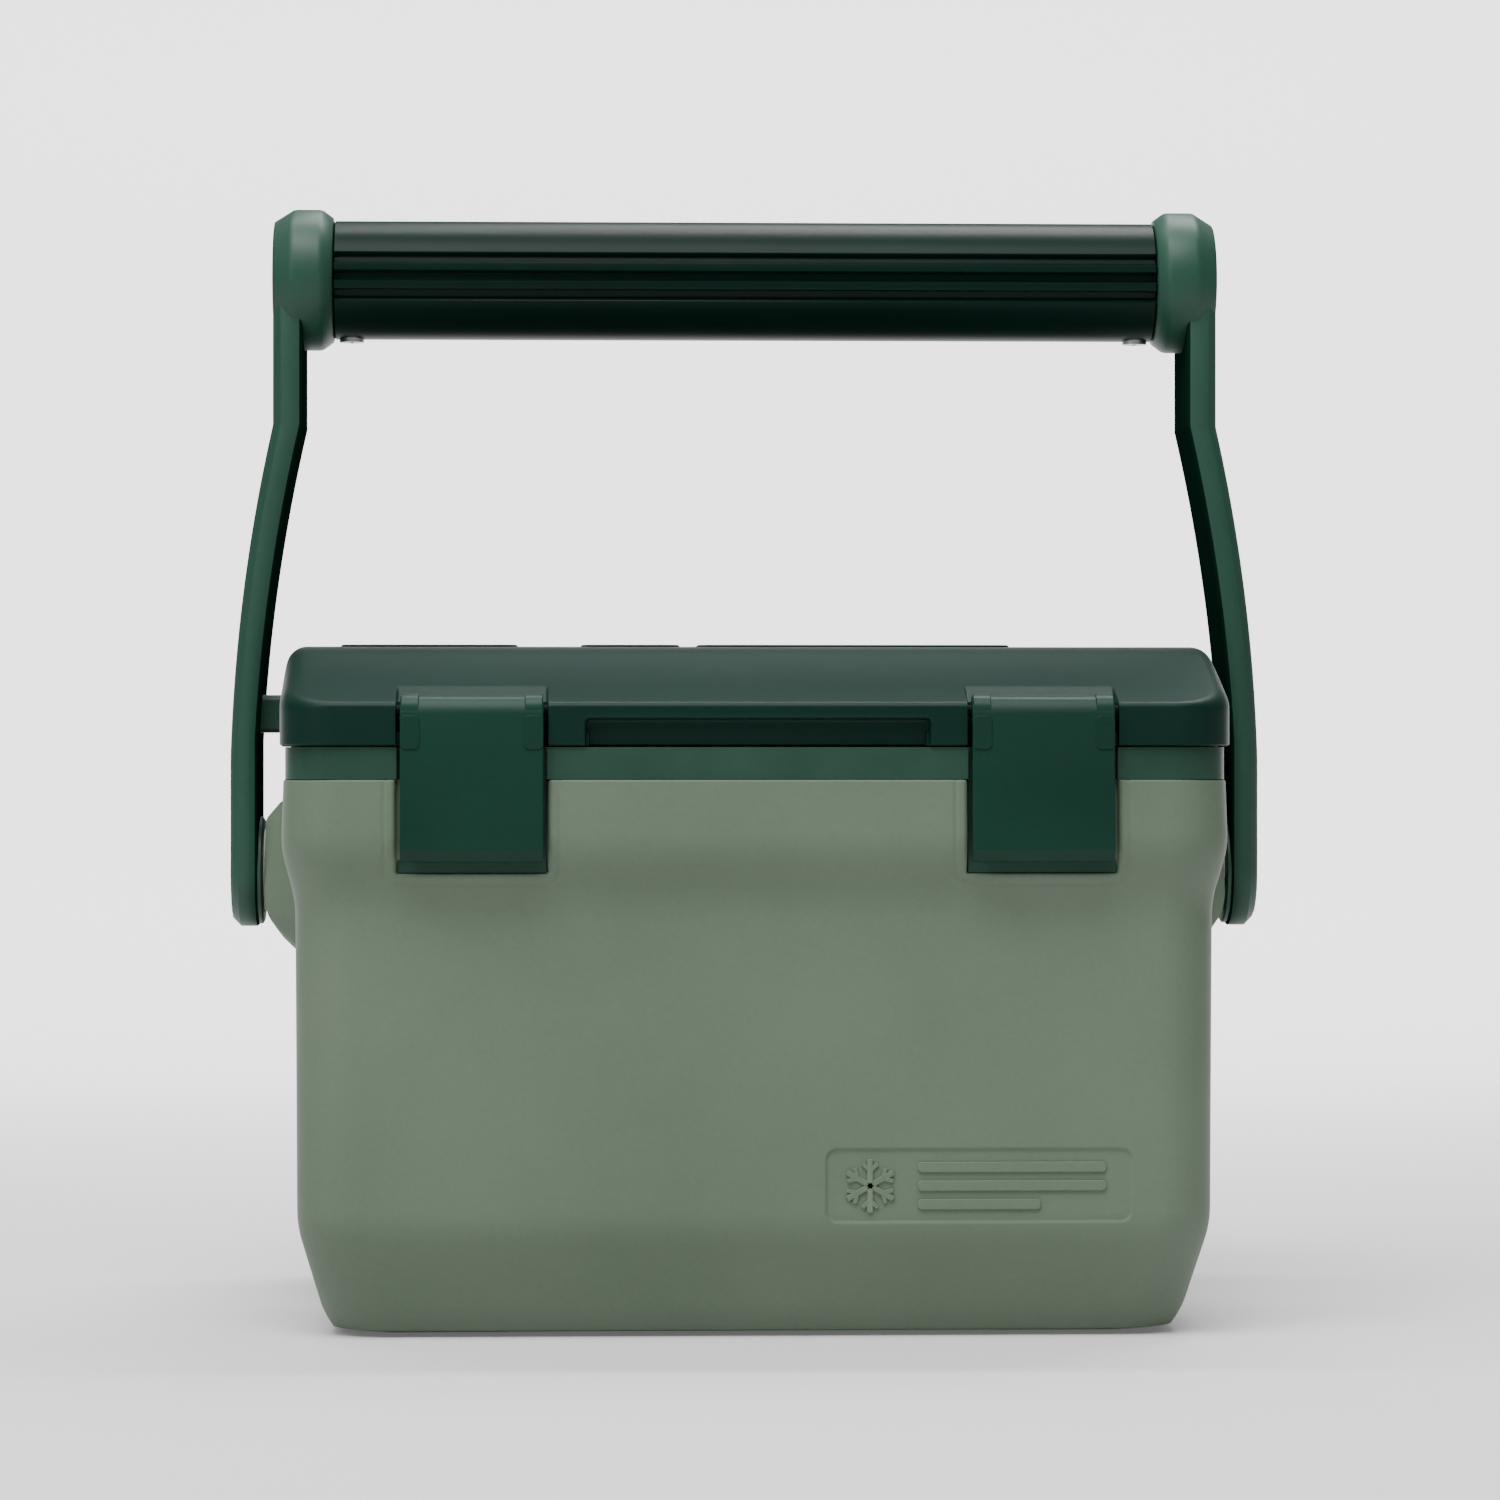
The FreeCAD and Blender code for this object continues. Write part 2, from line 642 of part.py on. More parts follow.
def corner_beads():
    """Low ribs just inside the lid's skirt at the two front corners, which close the gap there."""
    outer = slab("bead_outer", "collar_top - 1", "bead_top",
                 *[f"lid_{side} - skin - bead_gap" for side in ("half", "front", "back")],
                 "corner - skin - bead_gap")
    inner = slab("bead_inner", "collar_top - 2", "bead_top + 1",
                 *[f"lid_{side} - skin - bead_gap - bead_wide" for side in ("half", "front", "back")],
                 "corner - skin - bead_gap - bead_wide")
    zone = box("bead_zone", "bead_start", "lid_half", "-lid_front", "-bead_reach", "collar_top - 2", "bead_top + 1")
    return common("beads", cut("bead_ring", outer, inner), fuse("bead_zones", zone, mirrored("bead_zone_left", zone)))


def hinge_pin():
    return rod("hinge_pin_rod", "hinge_x - hinge_half + 0.6", "hinge_x + hinge_half - 0.6", "hinge_y", "hinge_z",
               "hinge_pin")


def pivot_bolt():
    """Head under the cap, a shank through the bush, a thread through the wall into the anchor."""
    head = rod("bolt_head", "bolt_seat", "bolt_face", "0", "pivot_z", "head_round")
    shank = rod("bolt_shank", "bolt_step", "bolt_seat + 0.1", "0", "pivot_z", "bolt_round")
    thread = rod("bolt_thread", "bolt_tip", "bolt_step + 0.1", "0", "pivot_z", "thread_round")
    drive = box("bolt_drive", "drive_level", "bolt_face + 1", "-5", "5", "pivot_z - 0.8", "pivot_z + 0.8")
    cross = box("bolt_cross", "drive_level", "bolt_face + 1", "-0.8", "0.8", "pivot_z - 5", "pivot_z + 5")
    return cut("bolt", fuse("bolt_solid", head, shank, thread), drive, cross)


def pivot_anchor():
    """The threaded plate behind the wall that spreads the handle's load."""
    plate = box("anchor_plate", "panel_half - 8.5", "panel_half - 2.6", "-anchor_half_deep", "anchor_half_deep",
                "pivot_z - anchor_half_tall", "pivot_z + anchor_half_tall")
    hub = rod("anchor_hub", "anchor_tip", "panel_half - 2.7", "0", "pivot_z", "anchor_hub")
    bore = rod("anchor_bore", "anchor_tip - 5", "panel_half", "0", "pivot_z", "thread_round + slip")
    return cut("anchor", fuse("anchor_solid", plate, hub), bore)


# --- lid --------------------------------------------------------------------------------------


def lid_backings(prefix, spare):
    """The blocks that stand behind the latch recesses and the finger slot."""
    pieces = []
    for index, side in enumerate(("latch_x", "-latch_x")):
        behind = polygon(
            f"{prefix}_latch{index}", "YZ_Plane",
            [
                ("-lid_front", "lid_low"),
                (f"-lid_front + recess_deep + lid_recess_extra + backing + {spare}", "lid_low"),
                (f"-lid_front + recess_deep + lid_recess_extra + backing + {spare}", "latch_axis_z + 4.5"),
                (f"-backing_end + {spare}", f"recess_high + 2 - {spare}"),
                (f"-backing_end + {spare}", "lid_top"),
                ("-lid_front", "lid_top"),
            ],
            f"(recess_half + 3.5 + {spare}) * 2",
        )
        pieces.append(moved(f"{prefix}_block{index}", behind, side))
    pieces.append(
        box(f"{prefix}_finger", f"-finger_half - 2.5 - {spare}", f"finger_half + 2.5 + {spare}", "-lid_front",
            f"-lid_front + finger_deep + backing + {spare}", "lid_low", f"finger_top + 2.5 + {spare}")
    )
    return pieces


def raised_pads():
    """Three shallow raised fields on the lid's flat top."""
    spans = {"left": ("-116", "-66"), "middle": ("-48", "-20"), "right": ("-15", "74")}
    return [
        box("lid_pad_" + side, *ends, "-pad_front", "pad_rear", "lid_top - 1", "lid_top + pad_rise")
        for side, ends in spans.items()
    ]


def lid_shell():
    form = rounded_top("lid_rounded", lid_form("lid_outer", "0", "lid_low"), size_of("edge_round"))
    hollow = lid_form("lid_hollow", "skin", "lid_low - 1")
    thing = cut("lid_open", form, hollow)
    backing = common("lid_backing", form, fuse("lid_backing_blocks", *lid_backings("lid_back", "0")))
    recesses = []
    for index, side in enumerate(("latch_x", "-latch_x")):
        recess = polygon(
            f"lid_recess_outline{index}", "YZ_Plane",
            [
                ("-lid_front - 6", "lid_low - 5"),
                ("-lid_front + recess_deep + lid_recess_extra", "lid_low - 5"),
                ("-lid_front + recess_deep + lid_recess_extra", "latch_axis_z + 2.4"),
                ("-recess_ramp_end", "recess_high"),
                ("-lid_front - 6", "recess_high"),
            ],
            "recess_half * 2",
        )
        recesses.append(moved(f"lid_recess{index}", recess, side))
        recesses.append(rod(f"lid_pin_bore{index}", f"{side} - pin_half - 0.2", f"{side} + pin_half + 0.2",
                            "latch_axis_y", "latch_axis_z", "latch_pin + slip"))
    finger = box("finger_slot", "-finger_half", "finger_half", "-lid_front - 1", "-lid_front + finger_deep",
                 "lid_low - 1", "finger_top")
    knuckles = []
    notches = []
    for index, side in enumerate(("hinge_x", "-hinge_x")):
        for end, (near, far) in enumerate([("-hinge_half", "-knuckle_half - 0.4"),
                                           ("knuckle_half + 0.4", "hinge_half")]):
            left, right = f"{side} + ({near})", f"{side} + ({far})"
            knuckles.append(rod(f"lid_knuckle{index}{end}", left, right, "hinge_y", "hinge_z", "knuckle"))
            knuckles.append(box(f"lid_web{index}{end}", left, right, "lid_back - 1", "hinge_y", "lid_low",
                                "hinge_z + knuckle"))
        notches.append(rod(f"lid_notch{index}", f"{side} - knuckle_half - 0.4", f"{side} + knuckle_half + 0.4",
                           "hinge_y", "hinge_z", "knuckle + hinge_gap"))
        notches.append(rod(f"lid_bore{index}", f"{side} - 20", f"{side} + 20", "hinge_y", "hinge_z",
                           "hinge_pin + slip"))
    solid = fuse("lid_solid", thing, backing, *raised_pads(), *knuckles)
    return cut("lid_cut", solid, *recesses, finger, *notches)


def lid_foam():
    form = lid_form("lid_foam_form", "skin + foam_gap", "lid_low + 3.5")
    return cut("lid_foam_cut", form, *lid_backings("foam_back", "foam_gap"))


def lid_liner():
    """The tray that closes the lid's underside, with a plug that enters the liner's mouth."""
    plate = slab("tray_plate", "lid_low + 1.2", "lid_low + 3.2", "lid_waist - 3", "tray_front", "lid_back - 7",
                 "corner")
    plug = slab("tray_plug", "tray_low", "lid_low + 1.3", "liner_half - 5", "liner_front - 6", "liner_back - 6.5",
                "liner_corner - 3")
    hollow = slab("tray_hollow", "tray_low + liner_wall", "lid_low + 4", "liner_half - 7", "liner_front - 8",
                  "liner_back - 8.5", "liner_corner - 5")
    return cut("tray", fuse("tray_solid", plate, plug), hollow)


def lid_gasket():
    outer = slab("gasket_outer", "gasket_low", "lid_low + 1.2", "gasket_half", "gasket_front", "gasket_back",
                 "liner_corner + 3")
    inner = slab("gasket_inner", "gasket_low - 1", "lid_low + 2", "gasket_half - gasket_wide",
                 "gasket_front - gasket_wide + 0.5", "gasket_back - gasket_wide", "liner_corner - 1")
    return cut("gasket", outer, inner)


def latch_pin():
    return rod("latch_pin_rod", "latch_x - pin_half", "latch_x + pin_half", "latch_axis_y", "latch_axis_z",
               "latch_pin")


def latch():
    """Barrel, plate, thumb lip and the hook that catches under the collar."""
    left, right = "latch_x - latch_half", "latch_x + latch_half"
    barrel = rod("latch_barrel", left, right, "latch_axis_y", "latch_axis_z", "barrel")
    profile = polygon(
        "latch_profile", "YZ_Plane",
        [
            ("-latch_face", "latch_low + 11"),
            ("-latch_face", "latch_axis_z - 1"),
            ("latch_axis_y - barrel + 0.8", "latch_axis_z + 1.6"),
            ("latch_axis_y", "latch_axis_z"),
            ("-latch_rear", "latch_axis_z - 5"),
            ("-latch_rear", "hook_high"),
            ("-hook_tip", "hook_high"),
            ("-hook_tip - 0.3", "hook_low + 2.6"),
            ("-latch_rear", "hook_low"),
            ("-latch_rear", "latch_low + 3"),
            ("-latch_rear - 0.8", "latch_low"),
            ("-latch_face", "latch_low"),
            ("-lip_face", "latch_low + 3"),
            ("-lip_face", "latch_low + 6.5"),
        ],
        "latch_half * 2",
    )
    plate = moved("latch_plate", profile, "latch_x")
    ears = [
        box(f"latch_ear{index}", f"latch_x + ({near})", f"latch_x + ({far})", "-latch_face - 0.3",
            "-latch_rear", "ear_low", "latch_axis_z")
        for index, (near, far) in enumerate([("-latch_half", "-latch_half + ear"),
                                             ("latch_half - ear", "latch_half")])
    ]
    bore = rod("latch_bore", "latch_x - 25", "latch_x + 25", "latch_axis_y", "latch_axis_z", "latch_pin + slip")
    return cut("latch", fuse("latch_solid", barrel, plate, *ears), bore)


# --- handle -----------------------------------------------------------------------------------


def pivot_bush():
    sleeve = rod("bush_sleeve", "bush_start", "bush_end", "0", "pivot_z", "bush_round")
    bore = rod("bush_bore", "bush_start - 1", "bush_end + 1", "0", "pivot_z", "bolt_round + slip")
    return cut("bush", sleeve, bore)


def pivot_washer():
    disc = rod("washer_disc", "boss_face + 0.1", "foot_face - 0.1", "0", "pivot_z", "washer_round")
    bore = rod("washer_bore", "boss_face - 1", "foot_face + 1", "0", "pivot_z", "bush_round + 0.1")
    return cut("washer", disc, bore)


def handle_arm():
    """A bent strap: a round foot on the pivot, a spacer lug, a socket and a spigot at the grip."""
    strap = polygon(
        "arm_strap", "XZ_Plane",
        [
            ("arm_inner", "pivot_z - 20"),
            ("arm_outer", "pivot_z - 20"),
            ("arm_outer", "bend_low"),
            ("top_outer", "bend_high"),
            ("top_outer", "grip_z"),
            ("top_inner", "grip_z"),
            ("top_inner", "bend_high"),
            ("arm_inner", "bend_low + 5"),
        ],
        "arm_half * 2",
        curved={2: ("mid_outer", "bend_mid"), 6: ("mid_inner", "bend_mid")},
    )
    outline = polygon(
        "arm_side", "YZ_Plane",
        [("-arm_half", "pivot_z"), ("arm_half", "pivot_z"), ("arm_half", "grip_z + 5"), ("-arm_half", "grip_z + 5")],
        "arm_outer * 4",
        curved={0: ("0", "pivot_z - arm_half")},
    )
    plain = common("arm_plain", strap, outline)
    beveled = outer_bevel("arm_beveled", plain)
    foot = rod("arm_foot", "foot_face", "arm_inner + 1", "0", "pivot_z", "arm_half - 0.1")
    socket = socket_form()
    spigot = rod("arm_spigot", "spigot_end", "grip_half + 1", "0", "grip_z", "spigot")
    lug = box("arm_lug", "lug_face", "arm_inner + 1", "-lug_half", "lug_half", "lug_low", "lug_high")
    solid = fuse("arm_solid", beveled, foot, socket, spigot, lug)
    bore = rod("arm_bore", "foot_face - 1", "arm_outer + 1", "0", "pivot_z", "bush_round + slip")
    well = rod("arm_well", "bush_end", "arm_outer + 1", "0", "pivot_z", "cap_round + 0.1")
    screw = post("arm_screw_hole", "screw_x", "0", "grip_z - 20", "grip_z + 2", "screw_round + 0.05")
    return cut("arm", solid, bore, well, screw)


def outer_bevel(name, base):
    """Bevel the edge of the strap's outer face."""
    doc.recompute()
    thing = doc.addObject("Part::Chamfer", name)
    thing.Base = base
    chosen = []
    bevel = size_of("arm_bevel")
    for index, edge in enumerate(base.Shape.Edges, start=1):
        faces = base.Shape.ancestorsOfType(edge, Part.Face)
        facing = [face.normalAt(*face.Surface.parameter(edge.CenterOfMass)).x > 0.7 for face in faces]
        if sum(facing) == 1 and edge.BoundBox.ZMax < size_of("grip_z") - 1:
            chosen.append((index, bevel, bevel))
    thing.Edges = chosen
    return thing


def socket_form():
    body = doc.addObject("PartDesign::Body", "socket")
    sketch = new_sketch(body, "socket_outline", "XZ_Plane")
    inner = size_of("grip_half") + 0.1
    outer = size_of("top_outer") + 0.1
    axis = size_of("grip_z")
    round_ = size_of("socket_round")
    points = [
        (inner, axis),
        (inner, axis + round_ - 2.6),
        (inner + 3.2, axis + round_),
        (outer - 5.6, axis + round_),
        (outer, axis + round_ - 3.8),
        (outer, axis),
    ]
    for start, end in zip(points, points[1:] + points[:1]):
        sketch.addGeometry(Part.LineSegment(FreeCAD.Vector(*start, 0), FreeCAD.Vector(*end, 0)), False)
    turned = body.newObject("PartDesign::Revolution", "socket_turned")
    turned.Profile = sketch
    turned.ReferenceAxis = (sketch, [f"Edge{len(points)}"])
    turned.Angle = 360
    return body


def handle_grip():
    tube = rod("grip_tube", "-grip_half", "grip_half", "0", "grip_z", "grip_round")
    bore = rod("grip_hollow", "-grip_half - 1", "grip_half + 1", "0", "grip_z", "grip_bore")
    grooves = []
    for face in (-1, 1):
        for row in (-1, 0, 1):
            offset = row * size_of("groove_pitch")
            depth = math.sqrt(size_of("grip_round") ** 2 - offset**2) - size_of("groove_deep")
            front, back = (f"-{depth} - 4", f"-{depth}") if face < 0 else (f"{depth}", f"{depth} + 4")
            grooves.append(
                box(f"groove{face + 1}{row + 1}", "-grip_half - 1", "grip_half + 1", front, back,
                    f"grip_z + {row} * groove_pitch - groove_wide / 2",
                    f"grip_z + {row} * groove_pitch + groove_wide / 2")
            )
    holes = [
        post(f"grip_hole{index}", side, "0", "grip_z - grip_round - 1", "grip_z - grip_bore + 1",
             "screw_round + 0.05")
        for index, side in enumerate(("screw_x", "-screw_x"))
    ]
    sinks = [
        post(f"grip_sink{index}", side, "0", "grip_z - grip_round - 2", "grip_z - grip_round + 1.6",
             "screw_head + 0.15")
        for index, side in enumerate(("screw_x", "-screw_x"))
    ]
    return cut("grip", tube, bore, *grooves, *holes, *sinks)


def grip_screw():
    head = post("screw_head_disc", "screw_x", "0", "grip_z - grip_round - 0.9", "grip_z - grip_round + 1.6",
                "screw_head")
    shank = post("screw_shank", "screw_x", "0", "grip_z - grip_round + 1.5", "grip_z", "screw_round")
    slots = [
        box("screw_slot0", "screw_x - 2.2", "screw_x + 2.2", "-0.45", "0.45", "grip_z - grip_round - 2",
            "grip_z - grip_round + 0.1"),
        box("screw_slot1", "screw_x - 0.45", "screw_x + 0.45", "-2.2", "2.2", "grip_z - grip_round - 2",
            "grip_z - grip_round + 0.1"),
    ]
    return cut("screw", fuse("screw_solid", head, shank), *slots)


def pivot_cap():
    return rod("cap_disc", "cap_seat", "arm_outer", "0", "pivot_z", "cap_round")


node("outer_shell", outer_shell())
node("body_foam", body_foam())
node("inner_liner", inner_liner())
node("rim_collar", rim_collar())
two_sided("hinge_pin", hinge_pin)
two_sided("pivot_bolt", pivot_bolt)
two_sided("pivot_anchor", pivot_anchor)
node("lid_shell", lid_shell())
node("lid_foam", lid_foam())
node("lid_liner", lid_liner())
node("lid_gasket", lid_gasket())
two_sided("latch_pin", latch_pin)
two_sided("latch", latch)
two_sided("pivot_bush", pivot_bush)
two_sided("pivot_washer", pivot_washer)
two_sided("handle_arm", handle_arm)
node("handle_grip", handle_grip())
two_sided("grip_screw", grip_screw)
two_sided("pivot_cap", pivot_cap)

doc.recompute()
faults = [
    f"{thing.Name}: {thing.State}"
    for thing in doc.Objects
    if "Invalid" in thing.State or "Error" in thing.State
]
for thing in NODES:
    shape = thing.Shape
    if shape.isNull() or not shape.isValid() or not shape.Solids:
        faults.append(f"{thing.Label}: no valid solid")
if faults:
    raise SystemExit("\n".join(faults))

os.makedirs("parts", exist_ok=True)
for thing in NODES:
    thing.Shape.exportStep(f"parts/{thing.Label}.step")
    print(thing.Label, len(thing.Shape.Solids), "solid(s)", round(thing.Shape.Volume / 1000, 2), "cm3")
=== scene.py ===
import json
import math

import bmesh
import bpy
import numpy as np
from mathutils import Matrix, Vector


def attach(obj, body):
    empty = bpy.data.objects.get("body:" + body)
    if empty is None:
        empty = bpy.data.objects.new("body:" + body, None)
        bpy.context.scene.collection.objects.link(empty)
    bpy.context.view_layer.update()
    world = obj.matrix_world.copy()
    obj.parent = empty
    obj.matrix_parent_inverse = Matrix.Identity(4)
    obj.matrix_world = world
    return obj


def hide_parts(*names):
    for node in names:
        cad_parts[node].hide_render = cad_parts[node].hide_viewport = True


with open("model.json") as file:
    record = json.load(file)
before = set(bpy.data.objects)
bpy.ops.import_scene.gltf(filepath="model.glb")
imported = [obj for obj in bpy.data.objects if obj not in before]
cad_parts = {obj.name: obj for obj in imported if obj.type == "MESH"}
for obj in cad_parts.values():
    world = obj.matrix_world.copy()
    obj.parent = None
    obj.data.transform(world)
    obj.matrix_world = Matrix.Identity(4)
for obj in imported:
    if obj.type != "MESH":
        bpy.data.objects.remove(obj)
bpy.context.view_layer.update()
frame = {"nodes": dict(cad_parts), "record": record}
MM = 0.001

# --- camera ---------------------------------------------------------------------------------------

CAMERA_AZIMUTH = math.radians(-2.2)
CAMERA_DISTANCE = 1.5
CAMERA_AIM = Vector((0.0017, 0, 0.162))
LENS = 123.0


def make_camera():
    data = bpy.data.cameras.new("photo_camera")
    data.lens = LENS
    data.sensor_width = 36.0
    camera = bpy.data.objects.new("photo_camera", data)
    bpy.context.scene.collection.objects.link(camera)
    away = Vector((math.sin(CAMERA_AZIMUTH), -math.cos(CAMERA_AZIMUTH), 0))
    camera.location = CAMERA_AIM + away * CAMERA_DISTANCE
    camera.rotation_euler = (CAMERA_AIM - camera.location).to_track_quat("-Z", "Y").to_euler()
    bpy.context.scene.camera = camera


# --- materials ------------------------------------------------------------------------------------


def linear(red, green, blue):
    """A display colour from 0 to 255 as the linear colour a shader takes."""
    shares = [value / 255 for value in (red, green, blue)]
    return tuple(c / 12.92 if c <= 0.04045 else ((c + 0.055) / 1.055) ** 2.4 for c in shares) + (1.0,)


class Nodes:
    """A short way to lay out a material's nodes and link them."""

    def __init__(self, name):
        self.material = bpy.data.materials.new(name)
        self.material.use_nodes = True
        self.tree = self.material.node_tree
        self.shader = self.tree.nodes["Principled BSDF"]
        coordinates = self.tree.nodes.new("ShaderNodeTexCoord")
        self.place = coordinates.outputs["Object"]

    def add(self, kind, **settings):
        """A new node: settings are its own properties or its inputs, with _ for a space."""
        node = self.tree.nodes.new(kind)
        for name, value in settings.items():
            if hasattr(node, name):
                setattr(node, name, value)
            else:
                node.inputs[name.replace("_", " ")].default_value = value
        return node

    def link(self, output, target):
        self.tree.links.new(output, target)

    def noise(self, scale, detail=3.0, stretch=None):
        texture = self.add("ShaderNodeTexNoise", Scale=scale, Detail=detail, Roughness=0.55)
        source = self.place
        if stretch:
            mapping = self.add("ShaderNodeMapping", Scale=stretch)
            self.link(self.place, mapping.inputs["Vector"])
            source = mapping.outputs["Vector"]
        self.link(source, texture.inputs["Vector"])
        return texture.outputs["Fac"]

    def ramp(self, factor, stops):
        ramp = self.add("ShaderNodeValToRGB")
        elements = ramp.color_ramp.elements
        while len(elements) < len(stops):
            elements.new(0.5)
        for element, (position, colour) in zip(elements, stops):
            element.position = position
            element.color = colour
        self.link(factor, ramp.inputs["Fac"])
        return ramp.outputs["Color"]

    def spread(self, factor, low, high):
        spread = self.add("ShaderNodeMapRange")
        spread.inputs["To Min"].default_value = low
        spread.inputs["To Max"].default_value = high
        self.link(factor, spread.inputs["Value"])
        return spread.outputs["Result"]

    def mix(self, factor, first, second, blend="MIX"):
        mix = self.add("ShaderNodeMix", data_type="RGBA", blend_type=blend)
        colours = [socket for socket in mix.inputs if socket.type == "RGBA"]
        if isinstance(factor, float):
            mix.inputs[0].default_value = factor
        else:
            self.link(factor, mix.inputs[0])
        for socket, value in zip(colours, (first, second)):
            if isinstance(value, tuple):
                socket.default_value = value
            else:
                self.link(value, socket)
        return next(socket for socket in mix.outputs if socket.type == "RGBA")

    def bump(self, heights):
        """Stack (height, strength, distance) bumps on the shader's normal."""
        normal = None
        for height, strength, distance in heights:
            bump = self.add("ShaderNodeBump", Strength=strength, Distance=distance)
            self.link(height, bump.inputs["Height"])
            if normal:
                self.link(normal, bump.inputs["Normal"])
            normal = bump.outputs["Normal"]
        self.link(normal, self.shader.inputs["Normal"])


MOST_WEAR = 0.45


def plastic(name, colour, shade, rub, rough, specular):
    """Moulded plastic: slow colour drift, fine grain, uneven gloss and paler rubbed edges."""
    kit = Nodes(name)
    drift = kit.noise(9.0, detail=4.0)
    base = kit.ramp(drift, [(0.32, linear(*shade)), (0.7, linear(*colour))])
    streaks = kit.noise(28.0, detail=5.0, stretch=(0.35, 1.0, 1.8))
    dark, pale = (0.94, 0.94, 0.94, 1), (1.04, 1.04, 1.04, 1)
    speckle = kit.ramp(kit.noise(700.0, detail=2.0), [(0.3, dark), (0.7, pale)])
    base = kit.mix(0.5, base, speckle, blend="MULTIPLY")
    edge = kit.add("ShaderNodeNewGeometry").outputs["Pointiness"]
    wear_range = kit.add("ShaderNodeMapRange")
    wear_range.inputs["From Min"].default_value = 0.53
    wear_range.inputs["From Max"].default_value = 0.64
    kit.link(edge, wear_range.inputs["Value"])
    patches = kit.spread(kit.noise(60.0, detail=4.0), 0.15, 0.85)
    worn = kit.add("ShaderNodeMath", operation="MULTIPLY")
    kit.link(wear_range.outputs["Result"], worn.inputs[0])
    kit.link(patches, worn.inputs[1])
    worn_share = kit.add("ShaderNodeMath", operation="MULTIPLY")
    kit.link(worn.outputs[0], worn_share.inputs[0])
    worn_share.inputs[1].default_value = MOST_WEAR
    base = kit.mix(worn_share.outputs[0], base, linear(*rub))
    kit.link(base, kit.shader.inputs["Base Color"])
    kit.link(kit.spread(streaks, *rough), kit.shader.inputs["Roughness"])
    kit.shader.inputs["Specular IOR Level"].default_value = specular
    kit.bump([
        (kit.noise(2600.0, detail=2.0), 0.35, 0.00004),
        (kit.noise(120.0, detail=2.0), 0.12, 0.00008),
    ])
    return kit.material


def metal(name, colour, rough=(0.28, 0.42)):
    """Turned and plated steel with fine tool marks."""
    kit = Nodes(name)
    tint = kit.ramp(kit.noise(180.0), [(0.3, tuple(0.8 * c for c in colour[:3]) + (1,)), (0.7, colour)])
    kit.link(tint, kit.shader.inputs["Base Color"])
    kit.shader.inputs["Metallic"].default_value = 1.0
    kit.link(kit.spread(kit.noise(400.0, stretch=(6.0, 1.0, 1.0)), *rough), kit.shader.inputs["Roughness"])
    kit.bump([(kit.noise(3000.0, stretch=(8.0, 1.0, 1.0)), 0.2, 0.00003)])
    return kit.material


def foam(name):
    """Rigid insulating foam: cream, with fine open cells."""
    kit = Nodes(name)
    cells = kit.add("ShaderNodeTexVoronoi", Scale=900.0)
    kit.link(kit.place, cells.inputs["Vector"])
    tint = kit.ramp(cells.outputs["Distance"], [(0.1, (0.70, 0.64, 0.46, 1)), (0.6, (0.86, 0.81, 0.66, 1))])
    kit.link(tint, kit.shader.inputs["Base Color"])
    kit.shader.inputs["Roughness"].default_value = 0.9
    kit.bump([(cells.outputs["Distance"], 0.6, 0.0002)])
    return kit.material


# slot: name, colour, shade and rubbed edge on a scale to 255, roughness from and to, specular level
PLASTICS = {
    "body": ("sage_plastic", (93, 108, 91), (85, 100, 83), (123, 139, 121), (0.5, 0.62), 0.25),
    "lid": ("lid_plastic", (6, 39, 31), (4, 33, 26), (50, 78, 70), (0.38, 0.5), 0.12),
    "trim": ("trim_plastic", (13, 49, 37), (9, 42, 31), (52, 84, 70), (0.36, 0.48), 0.15),
    "collar": ("collar_plastic", (20, 54, 41), (15, 46, 35), (60, 90, 76), (0.4, 0.52), 0.2),
    "arm": ("arm_plastic", (33, 68, 54), (27, 60, 47), (76, 106, 94), (0.38, 0.5), 0.25),
    # the next slot is a darker, duller copy of the arm's plastic: its darker colour is painted shade for the
    # arms' inner faces
    "arm_inner": ("arm_inner_plastic", (8, 34, 25), (5, 29, 21), (30, 60, 48), (0.9, 1.0), 0.0),
    "grip": ("grip_plastic", (4, 27, 21), (3, 21, 16), (30, 54, 47), (0.3, 0.38), 0.07),
    "liner": ("liner_plastic", (168, 172, 168), (156, 161, 157), (190, 192, 188), (0.38, 0.5), 0.4),
    "seal": ("seal_rubber", (34, 35, 35), (26, 27, 27), (52, 53, 52), (0.7, 0.85), 0.4),
    "bearing": ("bearing_plastic", (214, 210, 198), (200, 196, 184), (230, 228, 220), (0.42, 0.55), 0.4),
}
MATERIALS = {}


def make_materials():
    for slot, settings in PLASTICS.items():
        MATERIALS[slot] = plastic(*settings)
    MATERIALS["steel"] = metal("plated_steel", (0.55, 0.55, 0.56, 1))
    MATERIALS["foam"] = foam("core_foam")
    MATERIALS["pin"] = metal("dark_pin", (0.008, 0.014, 0.012, 1), rough=(0.6, 0.75))


def paint(thing, slot):
    """Give a piece the one material of a slot."""
    thing.data.materials.clear()
    thing.data.materials.append(MATERIALS[slot])


# --- mesh helpers ---------------------------------------------------------------------------------


def smoothstep(low, high, value):
    """0 at the first place, 1 at the second, eased between them; the first may be the larger."""
    share = np.clip((value - low) / (high - low), 0, 1)
    return share * share * (3 - 2 * share)


def spaced(marks, fine_reach, fine, coarse):
    """Sorted places from the first mark to the last: close together near each mark, wide apart elsewhere."""
    start, end = marks[0], marks[-1]
    places = [start]
    while places[-1] < end - 1e-6:
        here = places[-1]
        near = min(abs(here - mark) for mark in marks)
        gap = fine if near < fine_reach else min(coarse, fine + 0.35 * (near - fine_reach))
        ahead = [mark - fine_reach for mark in marks if mark - fine_reach > here + 1e-6]
        step = min([gap] + [max(fine, mark - here) for mark in ahead])
        places.append(min(end, here + step))
    return np.array(places)


